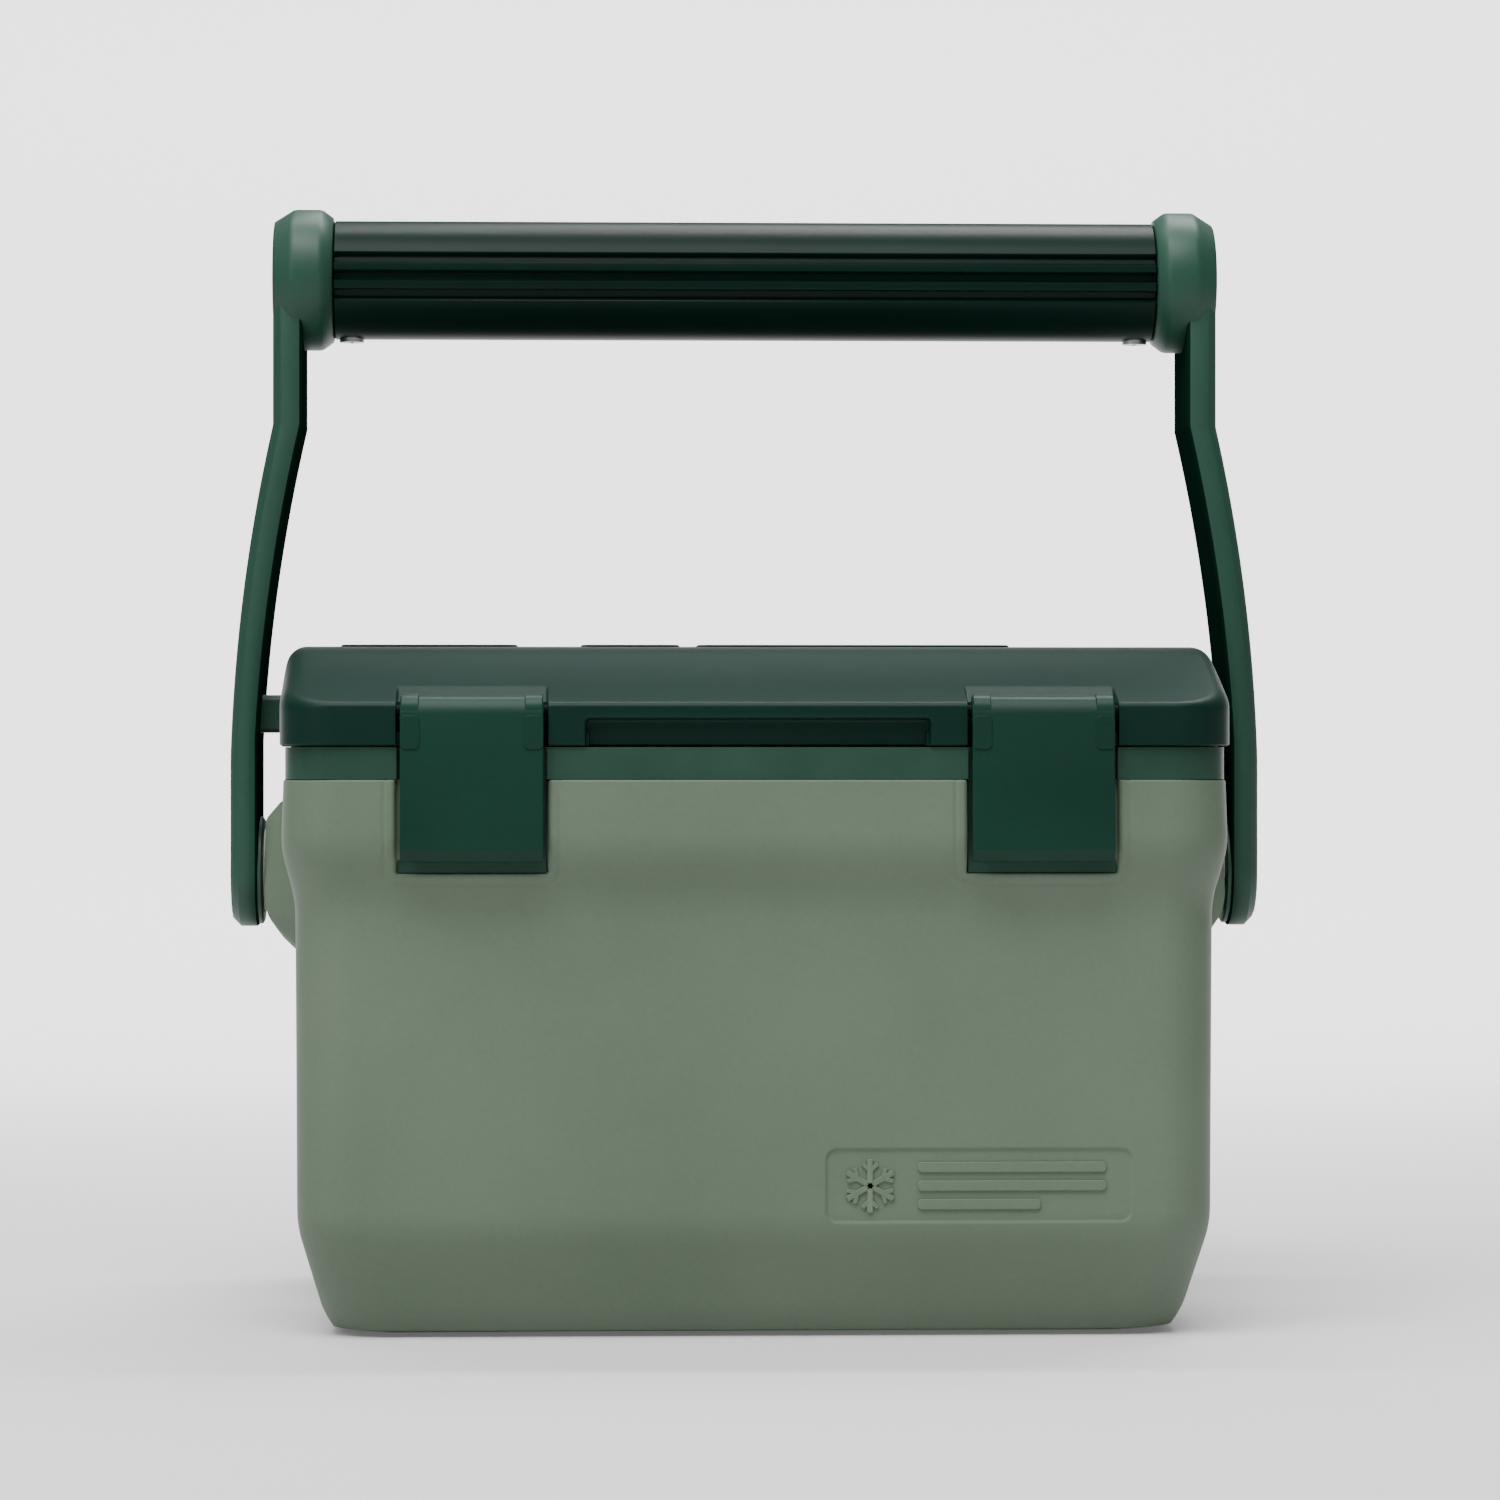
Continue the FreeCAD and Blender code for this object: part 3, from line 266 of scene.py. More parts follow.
def new_mesh(name, vertices, faces, slot, body, replaced=()):
    """A smooth-shaded piece in metres from millimetre vertices, which rides on a body."""
    mesh = bpy.data.meshes.new(name)
    mesh.from_pydata([tuple(c * MM for c in v) for v in vertices], [], faces)
    mesh.validate()
    mesh.polygons.foreach_set("use_smooth", [True] * len(mesh.polygons))
    piece = bpy.data.objects.new(name, mesh)
    bpy.context.scene.collection.objects.link(piece)
    paint(piece, slot)
    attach(piece, body)
    if replaced:
        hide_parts(*replaced)
    return piece


def grid_faces(rows, columns):
    """Quads over rows of points, each row a closed ring."""
    faces = []
    for row in range(rows - 1):
        for column in range(columns):
            right = (column + 1) % columns
            a = row * columns + column
            b = row * columns + right
            faces.append((a, b, b + columns, a + columns))
    return faces


def corner_arc(centre_x, centre_y, radius, start, shares):
    """Points along a quarter circle in plan, from a start angle."""
    angles = [start + share * math.pi / 2 for share in shares]
    return [(centre_x + radius * math.cos(angle), centre_y + radius * math.sin(angle)) for angle in angles]


def stretched(xs, knee, straight):
    """Places across the front, with the stretches past the knee scaled to end where the corner starts."""
    stretch = (straight - knee) / (xs[-1] - knee)
    return np.where(np.abs(xs) > knee, np.sign(xs) * (knee + (np.abs(xs) - knee) * stretch), xs)


# --- the body's skin ------------------------------------------------------------------------------

LATCH_X = 78.0
RECESS_HALF = 20.5
RECESS_LOW = 128.5
RECESS_DEEP = 5.8
RIM = 154.0
CORNER = 16.0
PIVOT_Z = 127.0
BADGE = (19.0, 103.0, 32.5, 52.5)
BADGE_CORNER = 3.0
BADGE_DEEP = 0.55
SKIN = 2.5
KNEE = 90.0
BOSS_FOOT = PIVOT_Z - 9
BODY_SIDE = 126.5
REAR_POINTS = 60

# level, half width, front, back: straight between these, with rounded turns
BODY_LEVELS = [
    (1.2, 113.5, 80.5, 78.5),
    (2.0, 117.2, 84.0, 82.0),
    (6.5, 119.8, 86.8, 84.8),
    (30.7, 126.5, 96.0, 93.2),
    (120.4, 127.0, 96.1, 93.3),
    (135.1, 130.6, 102.6, 97.0),
    (RIM, 130.0, 101.8, 96.5),
]
TURN_REACH = {2: 3.0, 3: 4.5, 4: 4.5, 5: 4.5}


def body_profile(level):
    """Half width, front and back at a level, with the creases between facets rounded off."""
    table = np.array(BODY_LEVELS)
    plain = [np.interp(level, table[:, 0], table[:, column]) for column in (1, 2, 3)]
    for index, reach in TURN_REACH.items():
        crease = table[index, 0]
        if abs(level - crease) < reach:
            for column in range(3):
                before = np.interp(crease - reach, table[:, 0], table[:, column + 1])
                middle = table[index, column + 1]
                after = np.interp(crease + reach, table[:, 0], table[:, column + 1])
                t = (level - crease + reach) / (2 * reach)
                plain[column] = (1 - t) ** 2 * before + 2 * t * (1 - t) * middle + t * t * after
    return plain


def box_distance(x, z, left, right, low, high, corner):
    """Signed distance to a rounded rectangle, negative inside."""
    dx = np.abs(x - (left + right) / 2) - (right - left) / 2 + corner
    dz = np.abs(z - (low + high) / 2) - (high - low) / 2 + corner
    outside = np.hypot(np.maximum(dx, 0), np.maximum(dz, 0))
    return outside + np.minimum(np.maximum(dx, dz), 0) - corner


def front_relief(x, z):
    """How far the front is set back at a place: latch recesses, their outlines and the badge panel."""
    depth = np.zeros_like(x)
    for side in (-LATCH_X, LATCH_X):
        away = box_distance(x, z, side - RECESS_HALF, side + RECESS_HALF, RECESS_LOW, RIM + 60, 0.6)
        depth += RECESS_DEEP * smoothstep(0.35, -0.35, away)
        depth += 0.5 * smoothstep(1.3, 0.2, away) * (away > -0.35)
        outline = box_distance(x, z, side - RECESS_HALF - 3.4, side + RECESS_HALF + 3.4, RECESS_LOW - 3.2,
                               RIM + 60, 4.0)
        depth += 0.22 * np.exp(-(outline / 0.45) ** 2)
    badge = box_distance(x, z, *BADGE, BADGE_CORNER)
    depth += BADGE_DEEP * smoothstep(0.3, -0.3, badge)
    return depth


BOSS_LEVELS = [(96, 0), (101, 0.6), (108, 7.5), (114, 11.6), (120, 12.6), (142, 12.2), (147, 8.0), (151, 2.0),
               (153, 0)]


def side_relief(y, z, half):
    """How far a side wall stands out at a place: the pad round the handle's pivot."""
    table = np.array(BOSS_LEVELS)
    face = np.interp(z, table[:, 0], table[:, 1]) + BODY_SIDE
    rise = np.maximum(face - half, 0) * (face > BODY_SIDE + 0.05)
    across = smoothstep(24.5, 17.5, np.abs(y))
    round_foot = smoothstep(25.0, 17.0, np.hypot(y, np.minimum(z - BOSS_FOOT, 0)))
    return rise * across * round_foot


def body_ring(level, columns):
    """One closed ring of the skin at a level: (x, y) in millimetres."""
    half, front, back = body_profile(level)
    xs, side_share, corner_share = columns
    straight = half - CORNER
    low, high = -front + CORNER, back - CORNER
    across = stretched(xs, KNEE, straight)
    ys = low + side_share * (back + front - 2 * CORNER)
    out = half + side_relief(ys, level, half)
    ring = list(zip(across, -front + front_relief(across, np.full_like(across, level))))
    ring += corner_arc(straight, low, CORNER, -math.pi / 2, corner_share)
    ring += zip(out, ys)
    ring += corner_arc(straight, high, CORNER, 0, corner_share)
    ring += [(x, back) for x in np.linspace(straight, -straight, REAR_POINTS)]
    ring += corner_arc(-straight, high, CORNER, math.pi / 2, corner_share)
    ring += zip(-out[::-1], ys[::-1])
    ring += corner_arc(-straight, low, CORNER, math.pi, corner_share)
    return ring


def make_body():
    edges = [LATCH_X - RECESS_HALF, LATCH_X + RECESS_HALF]
    marks = sorted([-110.5, 110.5, BADGE[0], BADGE[1], *edges, *[-e for e in edges]])
    columns = (spaced(marks, 4.4, 0.34, 3.0), np.linspace(0, 1, 61), np.linspace(0, 1, 14)[1:-1])
    level_marks = [1.2, 6.5, 30.7, 34.0, 51.0, 120.4, RECESS_LOW - 1.5, 135.1, RIM - 0.6]
    levels = list(spaced(level_marks, 3.6, 0.4, 2.6))
    rings = [[(x, y, level) for x, y in body_ring(level, columns)] for level in levels]
    rim = body_ring(RIM, columns)
    for drop, pull in ((0.25, 0.2), (0.0, 0.7), (0.0, SKIN)):
        rings.append([inward(x, y, pull) + (RIM - drop,) for x, y in rim])
    for level in levels[::-6]:
        rings.append([inward(x, y, SKIN) + (level,) for x, y in body_ring(level, columns)])
    count = len(rings[0])
    vertices = [point for ring in rings for point in ring]
    faces = grid_faces(len(rings), count)
    lowest = [tuple(range(count))[::-1]]
    inner_floor = [tuple(range((len(rings) - 1) * count, len(rings) * count))]
    new_mesh("body_skin", vertices, faces + lowest + inner_floor, "body", "base", ["outer_shell"])


def inward(x, y, distance):
    """A point moved towards the middle, by shrinking the plan evenly."""
    step_x = math.copysign(min(distance, abs(x)), x) * min(1, abs(x) / 90)
    step_y = math.copysign(min(distance, abs(y)), y) * min(1, abs(y) / 70)
    return x - step_x, y - step_y


# --- other piece makers ---------------------------------------------------------------------------

PLANES = {"x": (1, 2, 0), "y": (0, 2, 1), "z": (0, 1, 2)}


def placed(axis, u, v, along):
    """A place from its two coordinates in a plane and its place along the plane's axis."""
    point = [0.0, 0.0, 0.0]
    for index, value in zip(PLANES[axis], (u, v, along)):
        point[index] = value
    return tuple(point)


def prism(name, outline, start, end, axis, slot, body, bevel=0.4, replaced=()):
    """A closed outline drawn out along an axis, with every edge rounded."""
    count = len(outline)
    vertices = [placed(axis, u, v, along) for along in (start, end) for u, v in outline]
    faces = [(i, (i + 1) % count, (i + 1) % count + count, i + count) for i in range(count)]
    faces += [tuple(range(count))[::-1], tuple(range(count, 2 * count))]
    piece = new_mesh(name, vertices, faces, slot, body, replaced)
    outward(piece)
    rounding = piece.modifiers.new("edges", "BEVEL")
    rounding.width = bevel * MM
    rounding.segments = 3
    rounding.limit_method = "ANGLE"
    rounding.angle_limit = math.radians(24)
    rounding.harden_normals = True
    return piece


def outward(piece):
    """Turn a piece's faces so that their normals point out."""
    shape = bmesh.new()
    shape.from_mesh(piece.data)
    bmesh.ops.recalc_face_normals(shape, faces=shape.faces)
    shape.to_mesh(piece.data)
    shape.free()


def turned(name, stations, y, z, slot, body, replaced=(), steps=96, crease=32):
    """A solid turned about a line along X: stations are (x, radius) pairs."""
    vertices = []
    for x, radius in stations:
        for step in range(steps):
            angle = 2 * math.pi * step / steps
            vertices.append((x, y + radius * math.cos(angle), z + radius * math.sin(angle)))
    faces = grid_faces(len(stations), steps)
    faces += [tuple(range(steps)), tuple(range((len(stations) - 1) * steps, len(stations) * steps))]
    piece = new_mesh(name, vertices, faces, slot, body, replaced)
    outward(piece)
    piece.data.set_sharp_from_angle(angle=math.radians(crease))
    return piece


def rounded_block(left, right, low, high, corner, steps=6):
    """The outline of a rounded rectangle."""
    outline = []
    centres = [(right - corner, high - corner), (left + corner, high - corner), (left + corner, low + corner),
               (right - corner, low + corner)]
    for quarter, (u, v) in enumerate(centres):
        for step in range(steps + 1):
            angle = math.pi / 2 * (quarter + step / steps)
            outline.append((u + corner * math.cos(angle), v + corner * math.sin(angle)))
    return outline


# --- feet and the badge's relief ------------------------------------------------------------------


FOOT_X, FOOT_Y = 85, 62
FOOT_HALF_WIDE, FOOT_HALF_DEEP = 19, 9
CRYSTAL_X, CRYSTAL_Z = 31.0, 42.5
CRYSTAL_ARM = 7.4
CRYSTAL_THICK = 0.8
TWIG_ROOT = 4.0
TWIG_LONG = 3.0
TWIG_THICK = 0.6
BAR_LEFT = 44.0
BAR_HIGH = 2.9


def make_feet():
    for index, (side, end) in enumerate([(-1, -1), (1, -1), (-1, 1), (1, 1)]):
        outline = rounded_block(side * FOOT_X - FOOT_HALF_WIDE, side * FOOT_X + FOOT_HALF_WIDE,
                                end * FOOT_Y - FOOT_HALF_DEEP, end * FOOT_Y + FOOT_HALF_DEEP, 3.5)
        prism(f"foot_{index}", outline, 0.0, 2.4, "z", "body", "base", 0.5)


def strip_outline(root, tip, thick):
    """The four corners of a straight strip of the snow crystal, given from the crystal's middle."""
    way = (tip - root).normalized()
    side = Vector((-way.y, way.x)) * thick
    corners = (root + side, root - side, tip - side, tip + side)
    return [(CRYSTAL_X + corner.x, CRYSTAL_Z + corner.y) for corner in corners]


def make_badge():
    """A generic snow crystal and plain bars, raised on the shallow panel."""
    face = -BODY_LEVELS[3][2]
    for arm in range(3):
        angle = math.pi * arm / 3 + math.pi / 2
        along = Vector((math.cos(angle), math.sin(angle)))
        across = Vector((-along.y, along.x))
        outline = strip_outline(along * CRYSTAL_ARM, along * -CRYSTAL_ARM, CRYSTAL_THICK)
        prism(f"badge_arm_{arm}", outline, face - 0.12, face + 1.4, "y", "body", "base", 0.25)
        for end in (-1, 1):
            for lean in (-1, 1):
                root = along * (TWIG_ROOT * end)
                tip = root + (along * end + across * lean).normalized() * TWIG_LONG
                outline = strip_outline(root, tip, TWIG_THICK)
                name = f"badge_twig_{arm}_{end + 1}_{lean + 1}"
                prism(name, outline, face - 0.1, face + 1.4, "y", "body", "base", 0.22)
    for row, (right, high) in enumerate([(96.0, 49.0), (96.0, 43.9), (78.0, 38.8)]):
        outline = rounded_block(BAR_LEFT, right, high - BAR_HIGH, high, 1.2)
        prism(f"badge_bar_{row}", outline, face - 0.12, face + 1.4, "y", "body", "base", 0.25)


# --- lid ------------------------------------------------------------------------------------------

LID_LOW = 163.2
LIP = 174.8
LID_TOP = 191.4
LID_FRONT = 102.5
LID_BACK = 97.0
SLOPE_RUN = 52.0
FINGER = (-47.0, 47.0, 150.0, 170.5)
FINGER_DEEP = 3.5
LID_RECESS = 7.1
RAMP_LOW = 175.2
RAMP_RUN = 8.0
RAMP_RISE = 4.4
HINGE_X = 70.0
HINGE_Y = 100.9
HINGE_Z = 163.0
KNUCKLE = 4.6
LID_HALF = 131.0
LID_TAPER = 3.4
LID_KNEE = 101.0
REAR_RUN = 20.0
REAR_FALL = 7.0
CREASE_SOFT = 0.9
EDGE_SMALL, EDGE_LARGE = 1.3, 5.5
LID_INSETS = (0.06, 0.2, 0.45, 0.8, 1.3, 1.9, 2.6, 3.4, 4.4, 5.5, 6.6, 7.3, 8.4, 10.0, 12.0, 13.6, 14.8, 15.3,
              16.5, 19.0, 22.0, 25.0)
LID_PADS = [(-116, -66), (-48, -20), (-15, 74)]


def lid_half(y):
    """Half width of the lid at a depth: full in front, drawn in behind for the arms."""
    return LID_HALF - LID_TAPER * smoothstep(-34.0, 2.0, y)


def lid_surface(y):
    """Height of the lid's top at a depth, with softened creases."""
    front = LIP + (y + LID_FRONT) / SLOPE_RUN * (LID_TOP - LIP)
    rear = LID_TOP - (y - (LID_BACK - REAR_RUN)) / REAR_RUN * REAR_FALL
    rises = [np.exp(-(slope - LID_TOP) / CREASE_SOFT) for slope in (front, rear)]
    return LID_TOP - CREASE_SOFT * np.log(rises[0] + 1.0 + rises[1])


def recess_share(x):
    """1 inside a latch's recess, 0 outside, across a narrow wall."""
    away = np.minimum(np.abs(x - LATCH_X), np.abs(x + LATCH_X)) - RECESS_HALF
    return smoothstep(0.3, -0.3, away)


def lid_ring(inset, columns, level):
    """A ring of the lid at an inset; below the lip level it carries the finger slot and the rear notches."""
    xs, side_share, corner_share = columns
    corner = max(CORNER - inset, 0.8)
    low, high = corner - (LID_FRONT - inset), LID_BACK - inset - corner
    straight = lid_half(-80.0) - inset - corner
    straight_back = lid_half(80.0) - inset - corner
    across = stretched(xs, LID_KNEE, straight)
    depth = np.maximum(LID_RECESS * recess_share(xs), inset)
    rear = across[::-1] * straight_back / straight
    notch = np.zeros_like(rear)
    if level is not None:
        finger = box_distance(xs, np.full_like(xs, level), *FINGER, 1.0)
        depth = depth + FINGER_DEEP * smoothstep(0.3, -0.3, finger)
        near = np.minimum(np.abs(rear - HINGE_X), np.abs(rear + HINGE_X))
        notch = 1.4 * smoothstep(17.3, 16.9, near) * (level < HINGE_Z + 5.2)
    ys = low + side_share * (high - low)
    ring = list(zip(across, depth - LID_FRONT))
    ring += corner_arc(straight, low, corner, -math.pi / 2, corner_share)
    ring += [(lid_half(y) - inset, y) for y in ys]
    ring += corner_arc(straight_back, high, corner, 0, corner_share)
    ring += zip(rear, LID_BACK - inset - notch)
    ring += corner_arc(-straight_back, high, corner, math.pi / 2, corner_share)
    ring += [(inset - lid_half(y), y) for y in ys[::-1]]
    ring += corner_arc(-straight, low, corner, math.pi, corner_share)
    return np.array(ring)


def edge_rounds(columns):
    """The rounding of the lid's top edge at each place round its outline."""
    xs, side_share, corner_share = columns
    into = [EDGE_SMALL + (EDGE_LARGE - EDGE_SMALL) * float(smoothstep(0.0, 1.0, t)) for t in corner_share]
    side = [EDGE_LARGE] * len(side_share)
    corner = [EDGE_LARGE] * len(corner_share)
    rear = [EDGE_LARGE] * len(xs)
    return np.array([EDGE_SMALL] * len(xs) + into + side + corner + rear + corner + side + into[::-1])


def lid_heights(ring, inset, rounds):
    """Height of the lid's top at each place of a ring: rounded edges, and ramps behind the latch recesses."""
    x, y = ring[:, 0], ring[:, 1]
    top = lid_surface(y)
    inside = np.clip(rounds - inset, 0, None)
    top = top - (rounds - np.sqrt(np.clip(rounds ** 2 - inside ** 2, 0, None)))
    ramp = RAMP_LOW + (y + LID_FRONT - LID_RECESS) * RAMP_RISE / RAMP_RUN
    share = recess_share(x) * (y < -LID_FRONT + LID_RECESS + RAMP_RUN + 0.4)
    return top * (1 - share) + np.minimum(lid_surface(y), ramp) * share


def lid_rings(columns):
    """Rings of the lid's skin from inside the skirt, round its rim, up the sides and in to the middle."""
    rounds = edge_rounds(columns)
    edge = lid_heights(lid_ring(0.0, columns, None), 0.0, rounds)
    rings = []
    for level, pull in ((LID_LOW + 3.7, 2.5), (LID_LOW + 0.3, 2.5), (LID_LOW, 2.1), (LID_LOW, 0.4)):
        rings.append([inward(x, y, pull) + (level,) for x, y in lid_ring(0.0, columns, LID_LOW)])
    rise = LIP - EDGE_SMALL - LID_LOW
    shares = [0.03, 0.1, 0.25, 0.45, 0.6]
    shares += [(FINGER[3] + step - LID_LOW) / rise for step in (-0.5, -0.2, 0.0, 0.2, 0.5)]
    shares += [0.86, 0.94, 1.0]
    for share in shares:
        ring = lid_ring(0.0, columns, LID_LOW + share * rise)
        heights = LID_LOW + share * (edge - LID_LOW)
        rings.append([(x, y, z) for (x, y), z in zip(ring, heights)])
    for inset in LID_INSETS:
        ring = lid_ring(inset, columns, None)
        rings.append([(x, y, z) for (x, y), z in zip(ring, lid_heights(ring, inset, rounds))])
    last = lid_ring(LID_INSETS[-1], columns, None)
    for share in np.linspace(0, 1, 34)[1:]:
        ring = np.stack([last[:, 0] * (1 - 0.08 * share), last[:, 1] * (1 - share)], axis=1)
        rings.append([(x, y, z) for (x, y), z in zip(ring, lid_surface(ring[:, 1]))])
    return rings


def make_hinge_knuckle(side, end):
    """One of the lid's four hinge knuckles and the web that holds it."""
    left, right = sorted(side * HINGE_X + end * reach for reach in (8.4, 16.4))
    tag = f"{side + 1}_{end + 1}"
    stations = [(left, KNUCKLE - 0.5), (left + 0.5, KNUCKLE), (right - 0.5, KNUCKLE), (right, KNUCKLE - 0.5)]
    turned("lid_knuckle_" + tag, stations, HINGE_Y, HINGE_Z, "lid", "lid")
    web = [(LID_BACK - 1, LID_LOW + 0.4), (HINGE_Y, LID_LOW - 0.2), (HINGE_Y, HINGE_Z + KNUCKLE),
           (LID_BACK - 1, HINGE_Z + KNUCKLE + 3.0)]
    prism("lid_web_" + tag, web, left, right, "x", "lid", "lid", 0.4)


def make_lid():
    edges = [LATCH_X - RECESS_HALF, LATCH_X + RECESS_HALF]
    marks = sorted([-113.0, 113.0, FINGER[0], FINGER[1], *edges, *[-e for e in edges]])
    rings = lid_rings((spaced(marks, 2.6, 0.3, 3.2), np.linspace(0, 1, 49), np.linspace(0, 1, 14)[1:-1]))
    vertices = [point for ring in rings for point in ring]
    faces = grid_faces(len(rings), len(rings[0]))
    lid = new_mesh("lid_skin", vertices, faces, "lid", "lid", ["lid_shell"])
    lid.data.set_sharp_from_angle(angle=math.radians(50))
    for index, (left, right) in enumerate(LID_PADS):
        outline = rounded_block(left, right, -44, 70, 4.0)
        prism(f"lid_pad_{index}", outline, LID_TOP - 0.8, LID_TOP + 0.5, "z", "lid", "lid", 0.35)
    for side in (-1, 1):
        for end in (-1, 1):
            make_hinge_knuckle(side, end)


def make_shadow_strips():
    """Thin dark strips of painted shadow under the ends of the lid's skirt, in the seal's dark rubber."""
    for side, tag in ((1, "right"), (-1, "left")):
        outline = rounded_block(*sorted([side * 127.4, side * 130.4]), -87.0, -30.0, 1.0)
        # painted shadow: a dark sheet where the gap under the skirt's end lies in shade
        prism("skirt_shadow_strip_" + tag, outline, LID_LOW - 0.3, LID_LOW + 0.4, "z", "seal", "lid", 0.1)


# --- latches --------------------------------------------------------------------------------------

LATCH_HALF = 19.5
LATCH_FACE = -104.7
LATCH_BACK = -102.2
PIN_Y, PIN_Z = -99.9, 172.8
BARREL = 4.2
EAR_WIDE = 5.3


def make_latch(side, name):
    centre = side * LATCH_X
    left, right = centre - LATCH_HALF, centre + LATCH_HALF
    face, back = LATCH_FACE, LATCH_BACK
    plate = [(face, 139.8), (face - 1.3, 135.6), (face - 1.3, 134.6), (face + 0.1, 131.6),
             (back - 1.0, 131.3), (back, 134.3), (back, 144.5), (back + 2.3, 147.1), (back + 2.6, 149.4),
             (back, 149.4), (back, 168.0), (back + 2.0, 172.0), (PIN_Y - 2.6, 176.0), (face + 0.9, 174.4),
             (face, 171.8)]
    prism(name + "_plate", plate, left, right, "x", "trim", name, 0.35, [name])
    for end in (-1, 1):
        near, far = sorted(centre + end * reach for reach in (LATCH_HALF - EAR_WIDE, LATCH_HALF - 0.05))
        ear = rounded_block(near, far, 162.2, 171.4, 1.4)
        prism(f"{name}_ear_{end + 1}", ear, face - 0.28, face + 1.0, "y", "trim", name, 0.2)
        knuckle = [(near, BARREL - 0.4), (near + 0.4, BARREL + 0.25), (far - 0.4, BARREL + 0.25),
                   (far, BARREL - 0.4)]
        turned(f"{name}_knuckle_{end + 1}", knuckle, PIN_Y, PIN_Z, "trim", name)
    barrel = [(left + 0.2, BARREL - 0.5), (left + 0.5, BARREL - 0.15), (right - 0.5, BARREL - 0.15),
              (right - 0.2, BARREL - 0.5)]
    turned(name + "_barrel", barrel, PIN_Y, PIN_Z, "trim", name)


# --- handle ---------------------------------------------------------------------------------------

ARM_HALF = 16.3
ARM_BEVEL = 2.4
ARM_LIP = 0.9
ARM_BEND = 256.0
GRIP_Z = 299.0
GRIP_ROUND = 17.25
GRIP_HALF = 119.5
GRIP_BORE = 12.2
GROOVE_DEEP = 1.9
GROOVE_STEP = 5.4
GROOVE_HALF = 1.3
GRIP_STEPS = 520
ARM_CREASE = 48

# turned parts of an arm, on its right side: (x, radius)
FOOT_STATIONS = [(139.8, 14.8), (140.3, 15.6), (142.0, 15.6)]
CAP_STATIONS = [(148.2, 10.9), (149.05, 10.9), (149.22, 10.7), (149.25, 10.4)]
SOCKET_STATIONS = [(119.6, 12.1), (119.6, 17.6), (119.9, 18.2), (122.2, 19.9), (122.9, 20.3), (123.8, 20.5),
                   (130.4, 20.5), (131.4, 20.3), (132.2, 19.8), (136.2, 17.3), (136.8, 16.9), (136.9, 16.3)]


def arc_through(first, middle, last):
    """The x of a circular arc through three (x, z) places, as a function of z."""
    (x1, z1), (x2, z2), (x3, z3) = first, middle, last
    square1, square2, square3 = (x * x + z * z for x, z in (first, middle, last))
    d = 2 * (x1 * (z2 - z3) + x2 * (z3 - z1) + x3 * (z1 - z2))
    cx = (square1 * (z2 - z3) + square2 * (z3 - z1) + square3 * (z1 - z2)) / d
    cz = (square1 * (x3 - x2) + square2 * (x1 - x3) + square3 * (x2 - x1)) / d
    radius = math.hypot(x1 - cx, z1 - cz)
    turn = 1 if x2 > cx else -1
    return lambda z: cx + turn * math.sqrt(max(radius ** 2 - (z - cz) ** 2, 0))


OUTER_ARC = arc_through((149.0, 160.0), (144.6, 213.0), (136.8, ARM_BEND))
INNER_ARC = arc_through((141.0, 165.0), (136.3, 213.0), (128.2, ARM_BEND))


def strap_faces(z):
    """Inner and outer x of the arm at a height."""
    outer = 149.0 if z < 160 else OUTER_ARC(z) if z < ARM_BEND else 136.8
    inner = 141.0 if z < 165 else INNER_ARC(z) if z < ARM_BEND else 128.2
    return inner, outer


def strap_ring(z):
    """A closed section of the arm, beveled along its outer edges and lightly rounded inside."""
    below = PIVOT_Z - z
    half = math.sqrt(max(ARM_HALF ** 2 - below ** 2, 0.04)) if below > 0 else ARM_HALF
    inner, outer = strap_faces(z)
    edges = np.array([0.0, 0.25, 0.7, 1.6, 2.6, 2.95, 3.3, 4.0, 6.0, 10.0])
    steps = edges[edges < half * 0.96]
    places = -half + np.interp(np.linspace(0, 1, 10), np.linspace(0, 1, len(steps)), steps)
    across = np.concatenate([places, [0.0], -places[::-1]])
    reach = np.hypot(across, max(below, 0))
    edge = np.clip(ARM_HALF - reach, 0, None)
    face = outer - np.clip(ARM_BEVEL - edge, 0, ARM_BEVEL)
    back = inner + np.clip(ARM_LIP - edge, 0, ARM_LIP)
    ring = [(x, y, z) for x, y in zip(face, across)]
    return ring + [(x, y, z) for x, y in zip(back[::-1], across[::-1])]


def arm_levels():
    """Heights of the strap's sections: round the foot, close together at the bend, and up to the top."""
    foot = [PIVOT_Z - ARM_HALF * math.cos(math.radians(a)) for a in np.linspace(3, 90, 26)]
    bend = [253.5, 254.8, 255.6, 256.2, 257.0, 258.5]
    return foot + list(np.linspace(PIVOT_Z, 252, 44)[1:]) + bend + [262, 270, 280, 299]


def make_strap(side, tag):
    """The bent strap of an arm; its inner face is darker and duller, wearing painted shade."""
    levels = arm_levels()
    vertices = [(side * x, y, z) for level in levels for x, y, z in strap_ring(level)]
    count = len(vertices) // len(levels)
    faces = grid_faces(len(levels), count)
    faces += [tuple(range(count)), tuple(range(len(vertices) - count, len(vertices)))]
    strap = new_mesh(f"arm_{tag}_strap", vertices, faces, "arm", "handle", ["handle_arm_" + tag])
    outward(strap)
    strap.data.set_sharp_from_angle(angle=math.radians(ARM_CREASE))
    # painted shade: the inner faces get the darker copy of the arm's plastic
    strap.data.materials.append(MATERIALS["arm_inner"])
    for face in strap.data.polygons:
        if face.normal.x * side < -0.55:
            face.material_index = 1


